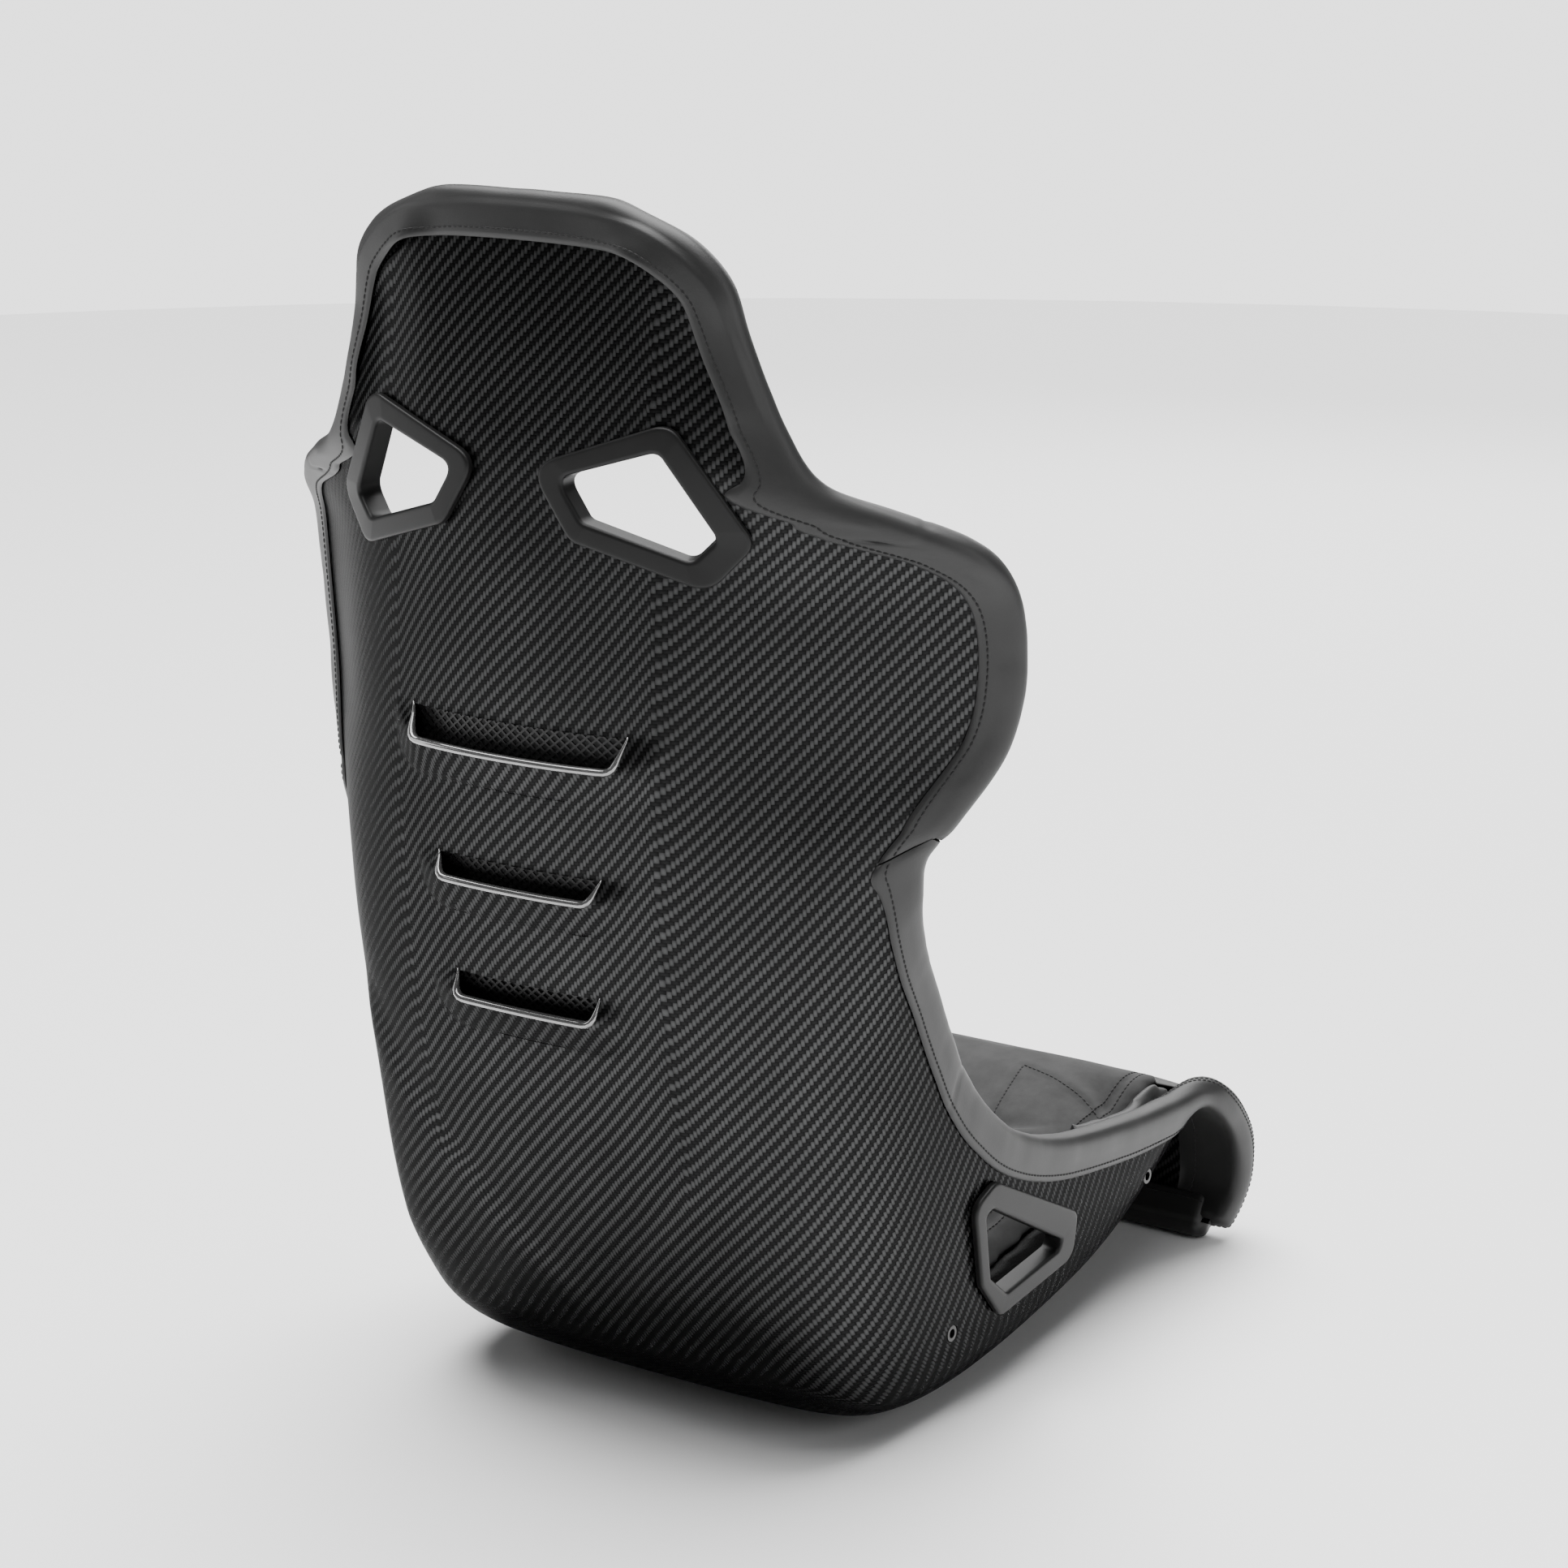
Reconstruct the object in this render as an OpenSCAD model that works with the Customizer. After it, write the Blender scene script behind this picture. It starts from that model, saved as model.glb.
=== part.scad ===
// Fixed-back bucket racing seat: one-piece carbon shell, leather edge roll,
// loose foam pads, belt slot bezels and four threaded side inserts.
// Millimetres. Front faces -Y, up is +Z, the occupant's left is +X.

/* [Overall] */
// Width over the shoulder wings, leather included
seat_width = 592; // [540:2:640]
// Height of the head section above the floor
seat_height = 882; // [820:2:940]
// Depth from the front of the nose to the rear of the back
seat_depth = 694; // [620:2:740]
// Wall of the carbon shell
wall = 3.5; // [2.5:0.5:5]
// Clearance between pieces that lie on each other
clearance = 0.8; // [0.5:0.1:1.2]

/* [Leather edge roll] */
// How far the roll stands out past the shell's edge
roll_out = 12; // [8:1:16]
// How far the roll's outer flap laps over the carbon
roll_lap = 22; // [14:1:26]
// How far the roll's inner flap runs over the inside
roll_inner = 26; // [18:1:34]
// Thickness of the roll on the inside
roll_foam = 15; // [10:1:20]

/* [Pads] */
// Thickness of the head and back pads
back_foam = 22; // [14:1:30]
// Thickness of the side bolsters
bolster_foam = 24; // [16:1:32]
// Gap under the pads, for their hook-and-loop strips and the vent mesh
pad_gap = 4; // [3.5:0.5:6]
// Thickness of the loose seat cushion
cushion_foam = 34; // [24:1:44]
// Half width of the loose seat cushion
cushion_half = 158; // [140:1:164]
// Height of the seat cushion's top at the front
thigh_height = 146; // [130:2:160]
// Height of the seat cushion's top at the rear
hip_height = 90; // [76:2:104]

/* [Belt slots] */
// Thickness of the bezel flanges
flange = 5; // [3:0.5:7]
// Wall of the bezel sleeves
sleeve = 3; // [2:0.5:4]
// Length of the crotch strap slot
crotch_length = 84; // [60:2:100]
// Width of the crotch strap slot
crotch_width = 30; // [24:1:40]

/* [Side mounting] */
// Distance between the front and rear inserts
insert_spacing = 288; // [260:2:300]
// Height of the rear inserts
insert_rear_z = 69; // [64:1:80]
// Height of the front inserts
insert_front_z = 97; // [90:1:106]
// Minor diameter of the insert's thread
insert_bore = 6.8; // [5:0.1:8.5]
// Length of the insert
insert_length = 24; // [22:1:28]
// Diameter of the insert's barrel
insert_barrel = 12; // [11:0.5:14]
// Diameter of the insert's inner flange
insert_head = 22; // [18:1:24]
// Diameter of the bonded boss round each insert
boss_diameter = 28; // [24:1:32]
// Depth of the boss and the insert's flange
boss_depth = 11; // [9:1:12]

/* [Vents] */
// How far the lip under each vent stands out
lip_rise = 9; // [5:1:12]
// Pitch of the mesh openings
mesh_pitch = 8; // [7:1:12]
// Thickness of the mesh
mesh_thickness = 1.4; // [1:0.2:2]

/* [Node] */
// Which sub-part to show

/* [Hidden] */
$fn = 48;
carbon = [0.10, 0.10, 0.11];
leather = [0.16, 0.16, 0.17];
suede = [0.26, 0.26, 0.27];
plastic = [0.07, 0.07, 0.08];
steel = [0.62, 0.63, 0.65];
mesh_black = [0.04, 0.04, 0.04];
foam_grey = [0.32, 0.32, 0.33];

// The loft was drawn at these overall sizes, so the stations scale from them
drawn = [592, 694, 882];
sx = seat_width / drawn.x;
sy = seat_depth / drawn.y;
sz = seat_height / drawn.z;
// Moves the loft's own zero, the rear foot, under the middle of the seat
middle = [0, 162, 8];

// Stations along the spine, from the nose's lower lip round the pan and up to the head.
// Each is: centre y, centre z, rim x, rim y, rim z, flat half width, corner half width,
// corner share of the way to the rim, corner sharpness.
stations = [
    [-478,   6, 188, -473,   8, 110, 168, 0.40, 1.00],
    [-494,  45, 197, -490,  42, 125, 184, 0.40, 1.20],
    [-480,  94, 203, -474,  88, 140, 192, 0.40, 1.20],
    [-436, 118, 206, -428, 127, 150, 194, 0.30, 1.20],
    [-378,  64, 207, -372, 132, 170, 198, 0.15, 1.60],
    [-300,  24, 208, -300, 139, 176, 200, 0.10, 2.00],
    [-200,   4, 210, -200, 156, 180, 202, 0.08, 2.40],
    [-100,  -6, 212, -130, 182, 182, 203, 0.08, 2.80],
    [ -30,  -4, 213,  -82, 217, 182, 203, 0.08, 3.00],
    [  18,  12, 214,  -48, 254, 180, 204, 0.08, 3.00],
    [  62,  60, 217,  -22, 292, 168, 203, 0.09, 2.60],
    [  99, 130, 221,    4, 333, 150, 200, 0.10, 2.00],
    [ 127, 200, 227,   30, 372, 136, 196, 0.14, 1.50],
    [ 148, 275, 234,   48, 410, 132, 190, 0.20, 1.25],
    [ 162, 345, 240,   54, 443, 136, 186, 0.30, 1.10],
    [ 170, 415, 258,   42, 475, 145, 184, 0.38, 1.05],
    [ 174, 490, 280,   20, 522, 150, 182, 0.42, 1.05],
    [ 175, 560, 288,   16, 570, 145, 180, 0.42, 1.00],
    [ 174, 620, 286,   24, 616, 140, 178, 0.42, 1.00],
    [ 173, 655, 273,   48, 644, 130, 175, 0.42, 1.00],
    [ 172, 682, 236,   82, 666, 125, 165, 0.42, 1.00],
    [ 171, 708, 196,  111, 690, 115, 155, 0.40, 1.00],
    [ 169, 738, 175,  122, 724, 105, 145, 0.40, 1.00],
    [ 166, 782, 154,  130, 776,  95, 130, 0.40, 1.00],
    [ 161, 828, 139,  141, 824,  85, 115, 0.40, 1.00],
    [ 157, 854, 112,  149, 848,  70,  95, 0.40, 1.00],
    [ 154, 864,  78,  152, 861,  50,  65, 0.40, 1.00]];
last = len(stations) - 1;
// Spine position of the leather seams at the waist
waist_u = 14.6;
hip_rise = 6;

// ---- Surface ----
function clamp(x, lo, hi) = min(max(x, lo), hi);
function ease(x) = let(t = clamp(x, 0, 1)) t * t * (3 - 2 * t);

function station(u) =
    let(c = clamp(u, 0, last - 0.00001), i = floor(c), t = c - i,
        p0 = stations[max(i - 1, 0)], p1 = stations[i],
        p2 = stations[i + 1], p3 = stations[min(i + 2, last)])
    0.5 * (2 * p1 + (p2 - p0) * t + (2 * p0 - 5 * p1 + 4 * p2 - p3) * t * t
        + (3 * p1 - p0 - 3 * p2 + p3) * t * t * t);

// The two low lobes beside the hips
function hip(x, z) =
    hip_rise * ease((abs(x) - 100) / 60) * ease((260 - z) / 150) * ease((z + 10) / 60);

function raw_skin(u, v) =
    let(r = station(u), t = abs(v), side = v < 0 ? -1 : 1,
        c = [0, r[0], r[1]], e = [r[2], r[3], r[4]], m = c + (e - c) * r[7],
        p1 = [r[5], r[0], r[1]], p2 = [r[6], m.y, m.z],
        b0 = pow(1 - t, 3), b1 = 3 * t * pow(1 - t, 2) * r[8],
        b2 = 3 * t * t * (1 - t) * r[8], b3 = pow(t, 3),
        p = (b0 * c + b1 * p1 + b2 * p2 + b3 * e) / (b0 + b1 + b2 + b3))
    [side * p.x, p.y + (u > 8 ? hip(p.x, p.z) * ease((u - 8) / 2) : 0), p.z];

// Outer face of the carbon. u runs along the spine, v from -1 to 1 across it.
function skin(u, v) =
    let(p = raw_skin(u, v) + middle) [p.x * sx, p.y * sy, p.z * sz];

function cross_unit(a, b) = let(c = cross(a, b)) c / norm(c);
function skin_normal(u, v) =
    let(e = 0.01, u0 = clamp(u - e, 0, last), u1 = clamp(u + e, 0, last))
    cross_unit(skin(u1, v) - skin(u0, v), skin(u, v + e) - skin(u, v - e));

// A point at height h over the outer face, negative towards the occupant
function off(u, v, h) = skin(u, v) + skin_normal(u, v) * h;

// Finds the [u, v] whose point has the two given coordinates
function find(axes, goal, uv, steps = 9) =
    steps == 0 ? uv :
    let(e = 0.002, p = skin(uv[0], uv[1]),
        du = (skin(uv[0] + e, uv[1]) - p) / e, dv = (skin(uv[0], uv[1] + e) - p) / e,
        a = du[axes[0]], b = dv[axes[0]], c = du[axes[1]], d = dv[axes[1]],
        r0 = goal[0] - p[axes[0]], r1 = goal[1] - p[axes[1]], det = a * d - b * c,
        su = clamp((d * r0 - b * r1) / det, -1, 1), sv = clamp((a * r1 - c * r0) / det, -0.1, 0.1))
    find(axes, goal, [clamp(uv[0] + su, 0.02, last - 0.02), clamp(uv[1] + sv, -0.98, 0.98)], steps - 1);
// On the back by x and z, on the flanks by y and z, on the pan by x and y
function on_back(x, z) = find([0, 2], [x, z], [lookup(z / sz - middle.z, spine_z), x / 280]);
function on_side(y, z) = find([1, 2], [y, z], [lookup(y / sy - middle.y, spine_y), 0.85]);
function on_pan(x, y) = find([0, 1], [x, y], [lookup(y / sy - middle.y, spine_y), x / 420]);
spine_z = [for (i = [9 : last]) [stations[i][1], i]];
spine_y = [for (i = [3 : 9]) [stations[i][0], i]];

// ---- Solids from grids ----
// Closed solid between two grids of points of the same size
module between(outer, inner) {
    nu = len(outer);
    nv = len(outer[0]);
    points = concat([for (r = outer) each r], [for (r = inner) each r]);
    o = nu * nv;
    function id(i, j) = i * nv + j;
    faces = concat(
        [for (i = [0 : nu - 2], j = [0 : nv - 2]) each
            [[id(i, j), id(i, j + 1), id(i + 1, j + 1)], [id(i, j), id(i + 1, j + 1), id(i + 1, j)]]],
        [for (i = [0 : nu - 2], j = [0 : nv - 2]) each
            [[o + id(i, j), o + id(i + 1, j + 1), o + id(i, j + 1)],
             [o + id(i, j), o + id(i + 1, j), o + id(i + 1, j + 1)]]],
        [for (i = [0 : nu - 2]) each
            [[id(i, 0), id(i + 1, 0), o + id(i + 1, 0)], [id(i, 0), o + id(i + 1, 0), o + id(i, 0)],
             [id(i, nv - 1), o + id(i + 1, nv - 1), id(i + 1, nv - 1)],
             [id(i, nv - 1), o + id(i, nv - 1), o + id(i + 1, nv - 1)]]],
        [for (j = [0 : nv - 2]) each
            [[id(0, j), o + id(0, j + 1), id(0, j + 1)], [id(0, j), o + id(0, j), o + id(0, j + 1)],
             [id(nu - 1, j), id(nu - 1, j + 1), o + id(nu - 1, j + 1)],
             [id(nu - 1, j), o + id(nu - 1, j + 1), o + id(nu - 1, j)]]]);
    polyhedron(points, faces, convexity = 10);
}

// Closed solid through a list of rings of points, open-ended or joined to itself
module through(rings, loop = false) {
    n = len(rings);
    m = len(rings[0]);
    points = [for (r = rings) each r];
    sides = [for (i = [0 : loop ? n - 1 : n - 2], j = [0 : m - 1])
        let(a = i * m + j, b = i * m + (j + 1) % m, k = (i + 1) % n,
            c = k * m + j, d = k * m + (j + 1) % m)
        each [[a, b, d], [a, d, c]]];
    ends = loop ? [] : [[for (j = [m - 1 : -1 : 0]) j], [for (j = [0 : m - 1]) (n - 1) * m + j]];
    polyhedron(points, concat(sides, ends), convexity = 10);
}

function steps(lo, hi, n) = [for (i = [0 : n]) lo + (hi - lo) * i / n];

// A pad that lies on the inside of the shell between the given limits
module pad(u0, u1, v0, v1, foam, nu, nv, under = wall + pad_gap) {
    us = steps(0, 1, nu);
    vs = steps(0, 1, nv);
    function crown(s, t) = pow(min(1, 5 * min(s, 1 - s)), 0.5) * pow(min(1, 5 * min(t, 1 - t)), 0.5);
    low = [for (s = us) [for (t = vs) off(u0 + (u1 - u0) * s, v0 + (v1 - v0) * t, -under)]];
    top = [for (s = us) [for (t = vs)
        off(u0 + (u1 - u0) * s, v0 + (v1 - v0) * t, -under - foam * (0.35 + 0.65 * crown(s, t)))]];
    between(low, top);
}

// Corners rounded to a radius, as a list of points
function rounded(c, r, n = 4) =
    [for (i = [0 : len(c) - 1])
        let(a = c[(i + len(c) - 1) % len(c)], b = c[i], d = c[(i + 1) % len(c)],
            p = (a - b) / norm(a - b), q = (d - b) / norm(d - b),
            half = acos(clamp(p * q, -1, 1)) / 2, cut = min(r / tan(half), norm(a - b) / 2.2, norm(d - b) / 2.2),
            s = b + p * cut, e = b + q * cut)
        for (k = [0 : n]) let(t = k / n) s * (1 - t) * (1 - t) + 2 * b * t * (1 - t) + e * t * t];

// ---- Shell ----
shell_u = concat(steps(0, 4, 8), steps(4.667, 8, 5), steps(8.5, 12, 7), steps(12.667, 20, 11), steps(20.5, last, 11));
shell_v = steps(-1, 1, 30);

// Belt slots, as outlines on the back in x and z and on the flank in y and z.
// The outer outline is the bezel's, the inner one the opening's.
shoulder_outer = [[21, 709], [120, 744], [167, 668], [139, 635], [51, 663]];
shoulder_inner = [[42, 703], [113, 725], [146, 670], [130, 654], [60, 676]];
lap_outer = [[-59, 113], [-60, 76], [43, 64], [76, 99], [93, 164], [66, 176]];
lap_inner = [[-39, 97], [-35, 89], [38, 81], [64, 101], [77, 153], [68, 156]];
crotch_y = -140;
vents = [[535, 513, 89, 81], [436, 421, 68, 61], [351, 335, 60, 57]];

function scaled_xz(list) = [for (p = list) [p[0] * sx, p[1] * sz]];
function scaled_yz(list) = [for (p = list) [p[0] * sy, p[1] * sz]];
function shoulder_slot() = rounded(scaled_xz(shoulder_inner), 8);
function lap_slot() = rounded(scaled_yz(lap_inner), 8);

module shoulder_cutter() {
    grow = sleeve + clearance;
    hull() for (p = scaled_xz(shoulder_inner))
        translate([p[0], 400, p[1]]) rotate([90, 0, 0]) cylinder(r = 4 + grow, h = 160, $fn = 20);
}
module lap_cutter() {
    grow = sleeve + clearance;
    hull() for (p = scaled_yz(lap_inner))
        translate([180 * sx, p[0], p[1]]) rotate([0, 90, 0]) cylinder(r = 4 + grow, h = 60, $fn = 20);
}
module vent_cutter(v) {
    hull() for (s = [-1, 1]) {
        translate([s * (v[2] - 3) * sx, 400, (v[0] - 3) * sz]) rotate([90, 0, 0]) cylinder(r = 3, h = 140, $fn = 16);
        translate([s * (v[3] - 3) * sx, 400, (v[1] + 3) * sz]) rotate([90, 0, 0]) cylinder(r = 3, h = 140, $fn = 16);
    }
}
module crotch_cutter(grow = 0) {
    r = crotch_width / 2 + grow;
    hull() for (s = [-1, 1])
        translate([s * (crotch_length - crotch_width) / 2, crotch_y * sy, -20]) cylinder(r = r, h = 200, $fn = 28);
}

module carbon_shell() color(carbon) difference() {
    between([for (u = shell_u) [for (v = shell_v) skin(u, v)]],
            [for (u = shell_u) [for (v = shell_v) off(u, v, -wall)]]);
    for (s = [-1, 1]) scale([s, 1, 1]) {
        shoulder_cutter();
        lap_cutter();
        for (q = insert_places) translate([150 * sx, q[0], q[1]])
            rotate([0, 90, 0]) cylinder(d = insert_barrel + 2 * clearance, h = 90 * sx);
    }
    for (v = vents) vent_cutter(v);
    crotch_cutter(sleeve + clearance);
}

// ---- Leather edge roll ----
// Outline of the roll across the edge: distance in from the edge, height over the carbon
function roll(inner) = let(g = clearance, b = -wall - clearance, f = -wall - roll_foam)
    [[roll_lap, g], [roll_lap, g + 1.6], [roll_lap * 0.4, 3.6], [-roll_out * 0.45, 3.2],
     [-roll_out * 0.9, -1.5], [-roll_out, -7], [-roll_out * 0.8, f + 5], [-roll_out * 0.25, f],
     [inner * 0.5, f - 2], [inner * 0.85, f + 1], [inner, f * 0.55],
     [inner, b], [-g, b], [-g, g]];
// The inner flap is short round the nose, where the nose pad meets it
function inner_flap(u) = u > 20 ? roll_inner : roll_inner * (0.45 + 0.55 * ease((u - 3.2) / 1.6));

// The edge at [u, v]: point, inward direction, normal and the step in [u, v] per mm inward.
// go is the direction of travel along the edge in [u, v].
function edge(u, v, go) =
    let(e = 0.01, p = skin(u, v), n = skin_normal(u, v),
        t0 = skin(clamp(u + go[0] * e, 0, last), clamp(v + go[1] * e, -1, 1))
            - skin(clamp(u - go[0] * e, 0, last), clamp(v - go[1] * e, -1, 1)),
        t = t0 / norm(t0), b = cross(n, t))
    [p, b, n];

function roll_ring(u, v, go, inward) =
    let(f = edge(u, v, go), p = f[0],
        b = f[1] * (f[1] * (skin(clamp(u, 1.5, last - 2), 0) - p) < 0 ? -1 : 1),
        n = f[2], e = 0.01,
        step = skin(u + inward[0] * e, v + inward[1] * e) - p, per = e / max(0.001, step * b))
    [for (k = roll(inner_flap(u))) let(s = k[0])
        s > 0 && inward[2] == 0
            ? off(u + inward[0] * per * s, v + inward[1] * per * s, k[1])
            : p + b * s + n * (k[1] + (s > 0 ? (k[1] > 0 ? 1.4 : -1.4) - s * s / 300 : 0))];

function side_rings(us, side) = [for (u = us) roll_ring(u, side, [1, 0], [0, -side, u > 22.5 ? 1 : 0])];
function top_rings(vs) = [for (v = vs) roll_ring(last, v, [0, 1], [-1, 0, 1])];
function lip_rings(vs) = [for (v = vs) roll_ring(0, v, [0, 1], [1, 0, 1])];
seam_gap = 0.02;

module edge_trim_upper() color(leather)
    through(concat(
        side_rings(concat(steps(waist_u + seam_gap, 22, 18), [22.7, 23.4, 24, 24.4, 24.8, 25.2, 25.6, 25.85]), 1),
        top_rings(steps(0.88, -0.88, 10)),
        side_rings(concat([25.85, 25.6, 25.2, 24.8, 24.4, 24, 23.4, 22.7], steps(22, waist_u + seam_gap, 18)), -1)));
module lower_trim() through(side_rings(steps(0.5, waist_u - seam_gap, 32), 1));
module edge_trim_lower_left() color(leather) lower_trim();
module edge_trim_lower_right() color(leather) mirror([1, 0, 0]) lower_trim();
module edge_trim_nose() color(leather) through(lip_rings(steps(-0.76, 0.76, 12)));

// ---- Bezels ----
// A moulded ring that follows the shell. Each corner pair gives the opening and the rim.
// reach is how far its sleeve goes in through the wall.
module bezel(inner, outer, reach) {
    base = clearance + 0.5;
    rings = [for (k = [0 : len(inner) - 1])
        let(i = inner[k], o = outer[k], pi_ = skin(i[0], i[1]), po = skin(o[0], o[1]),
            ni = skin_normal(i[0], i[1]), no = skin_normal(o[0], o[1]), w = norm(po - pi_))
        [for (q = [[1, 0], [1, flange * 0.55], [0.86, flange], [0.16, flange], [0, flange * 0.7],
                   [0, -reach], [sleeve / w, -reach], [sleeve / w, 0]])
            let(s = q[0], h = base + q[1]) (pi_ + ni * h) * (1 - s) + (po + no * h) * s]];
    through(rings, true);
}

shoulder_in_uv = [for (p = rounded(scaled_xz(shoulder_inner), 9)) on_back(p[0], p[1])];
shoulder_out_uv = [for (p = rounded(scaled_xz(shoulder_outer), 16)) on_back(p[0], p[1])];
lap_in_uv = [for (p = rounded(scaled_yz(lap_inner), 6)) on_side(p[0], p[1])];
lap_out_uv = [for (p = rounded(scaled_yz(lap_outer), 14)) on_side(p[0], p[1])];

module shoulder_bezel_rear_left() color(plastic) bezel(shoulder_in_uv, shoulder_out_uv, wall + 8);
module shoulder_bezel_rear_right() color(plastic) mirror([1, 0, 0]) shoulder_bezel_rear_left();
module lap_bezel_outer_left() color(plastic) bezel(lap_in_uv, lap_out_uv, wall + 6);
module lap_bezel_outer_right() color(plastic) mirror([1, 0, 0]) lap_bezel_outer_left();

// The inner rings clip over the sleeves, so their opening is the sleeve's outside
module inner_ring(inner, outer) {
    base = -wall - clearance - 0.5;
    rings = [for (k = [0 : len(inner) - 1])
        let(i = inner[k], o = outer[k], pi_ = skin(i[0], i[1]), po = skin(o[0], o[1]),
            ni = skin_normal(i[0], i[1]), no = skin_normal(o[0], o[1]), w = norm(po - pi_),
            a = (sleeve + clearance) / w, z = min(0.8, a + 12 / w))
        [for (q = [[a, 0], [z, 0], [z, -3], [a + (z - a) * 0.6, -flange], [a, -flange]])
            let(s = q[0], h = base + q[1]) (pi_ + ni * h) * (1 - s) + (po + no * h) * s]];
    through([for (r = rings) [for (j = [len(r) - 1 : -1 : 0]) r[j]]], true);
}
module shoulder_bezel_front_left() color(plastic) inner_ring(shoulder_in_uv, shoulder_out_uv);
module shoulder_bezel_front_right() color(plastic) mirror([1, 0, 0]) shoulder_bezel_front_left();
module lap_bezel_inner_left() color(plastic) inner_ring(lap_in_uv, lap_out_uv);
module lap_bezel_inner_right() color(plastic) mirror([1, 0, 0]) lap_bezel_inner_left();

// ---- Side inserts ----
// Each one stands behind the wall in a bonded boss, and its mouth is flush with the carbon
insert_rear_y = 100 * sy;
insert_front_y = insert_rear_y - insert_spacing;
insert_places = [[insert_rear_y, insert_rear_z], [insert_front_y, insert_front_z]];
function face_x(q) = let(a = on_side(q[0], q[1])) skin(a[0], a[1]).x;
module at_inserts() for (s = [0, 1], q = insert_places) mirror([s, 0, 0])
    translate([face_x(q), q[0], q[1]]) rotate([0, -90, 0]) children();
module insert_bosses() color(carbon) at_inserts() difference() {
    translate([0, 0, insert_length - boss_depth]) cylinder(d = boss_diameter, h = boss_depth - 3);
    cylinder(d = insert_barrel, h = insert_length);
}
module threaded_inserts() color(steel) at_inserts() difference() {
    union() {
        cylinder(d = insert_barrel - 0.2, h = insert_length);
        translate([0, 0, insert_length - 3 + 0.1]) cylinder(d = insert_head, h = 2.9);
    }
    translate([0, 0, -1]) cylinder(d = insert_bore, h = insert_length + 2);
}

// ---- Crotch strap slot ----
function stadium(l, w, y, n = 8) =
    [for (s = [1, -1], k = [0 : n]) let(a = (s > 0 ? 90 : 270) - 180 * k / n)
        [s * (l - w) / 2 + w / 2 * cos(a), y + w / 2 * sin(a)]];
crotch_in_uv = [for (p = stadium(crotch_length, crotch_width, crotch_y * sy)) on_pan(p[0], p[1])];
crotch_out_uv = [for (p = stadium(crotch_length + 32, crotch_width + 32, crotch_y * sy)) on_pan(p[0], p[1])];
module crotch_bezel_under() color(plastic) bezel(crotch_in_uv, crotch_out_uv, wall + 8);
module crotch_bezel_top() color(plastic) inner_ring(crotch_in_uv, crotch_out_uv);

// ---- Vents ----
// The back's own bend where a vent sits, so the mesh strip follows it
function bend(v) =
    let(z = (v[0] + v[1]) / 2 * sz, x = v[2] * sx, a = on_back(0.01, z), b = on_back(x, z),
        s = skin(a[0], a[1]).y - skin(b[0], b[1]).y)
    [(x * x + s * s) / (2 * s), skin(a[0], a[1]).y];

module vent_mesh(v) {
    b = bend(v);
    r = b[0] - wall - 1.6;
    z0 = (v[1] - 7) * sz;
    z1 = (v[0] + 7) * sz;
    half = (v[2] + 7) * sx;
    rows = floor((v[0] - v[1] - 2) * sz / (mesh_pitch * 0.72));
    cols = floor(v[2] * sx / mesh_pitch);
    color(mesh_black) translate([0, b[1] - b[0], 0]) difference() {
        intersection() {
            translate([0, 0, z0]) difference() {
                cylinder(r = r, h = z1 - z0, $fn = 96);
                translate([0, 0, -1]) cylinder(r = r - mesh_thickness, h = z1 - z0 + 2, $fn = 96);
            }
            translate([-half, 0, z0 - 1]) cube([2 * half, r + 10, z1 - z0 + 2]);
        }
        for (j = [0 : rows], i = [-cols : cols]) {
            x = (i + (j % 2) / 2) * mesh_pitch;
            z = (v[1] + 3) * sz + j * mesh_pitch * 0.72;
            if (abs(x) < v[3] * sx + (v[2] - v[3]) * sx * j / max(1, rows) - 1)
                translate([x, r + 5, z]) rotate([90, 0, 0]) rotate(45)
                    translate([-1, -1] * mesh_pitch * 0.26) cube([mesh_pitch * 0.52, mesh_pitch * 0.52, 60]);
        }
    }
}
module vent_mesh_upper() vent_mesh(vents[0]);
module vent_mesh_middle() vent_mesh(vents[1]);
module vent_mesh_lower() vent_mesh(vents[2]);

// The lip under a vent rises from the back towards the opening
module vent_lip(v) {
    drop = 28;
    cols = 12;
    rows = 5;
    grid = [for (j = [0 : rows]) [for (i = [0 : cols])
        let(t = j / rows, s = 2 * i / cols - 1,
            half = v[3] + 20 - 14 * t, z = v[1] - 1 - drop * (1 - t) * (0.55 + 0.45 * (1 - s * s)))
        concat(on_back(s * half * sx + 0.01, z * sz),
            [lip_rise * ease(t * 1.15) * ease((1 - abs(s)) * 3.2)])]];
    between([for (r = grid) [for (p = r) off(p[0], p[1], clearance + 0.8 + p[2])]],
            [for (r = grid) [for (p = r) off(p[0], p[1], clearance)]]);
}
module vent_lip_upper() color(carbon) vent_lip(vents[0]);
module vent_lip_middle() color(carbon) vent_lip(vents[1]);
module vent_lip_lower() color(carbon) vent_lip(vents[2]);

// ---- Pads ----
module head_pad() color(suede) pad(22.1, 23.9, -0.6, 0.6, back_foam, 7, 10);
module back_pad() color(suede) pad(14.35, 17.9, -0.46, 0.46, back_foam, 9, 10);
module lumbar_pad() color(suede) pad(11.1, 14.2, -0.44, 0.44, back_foam, 9, 10);
module wing_bolster_left() color(leather) pad(14.7, 18.4, 0.52, 0.84, bolster_foam, 10, 6);
module wing_bolster_right() color(leather) mirror([1, 0, 0]) wing_bolster_left();
module hip_bolster_left() color(leather) pad(9.8, 14.5, 0.52, 0.84, bolster_foam, 10, 6);
module hip_bolster_right() color(leather) mirror([1, 0, 0]) hip_bolster_left();
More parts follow.
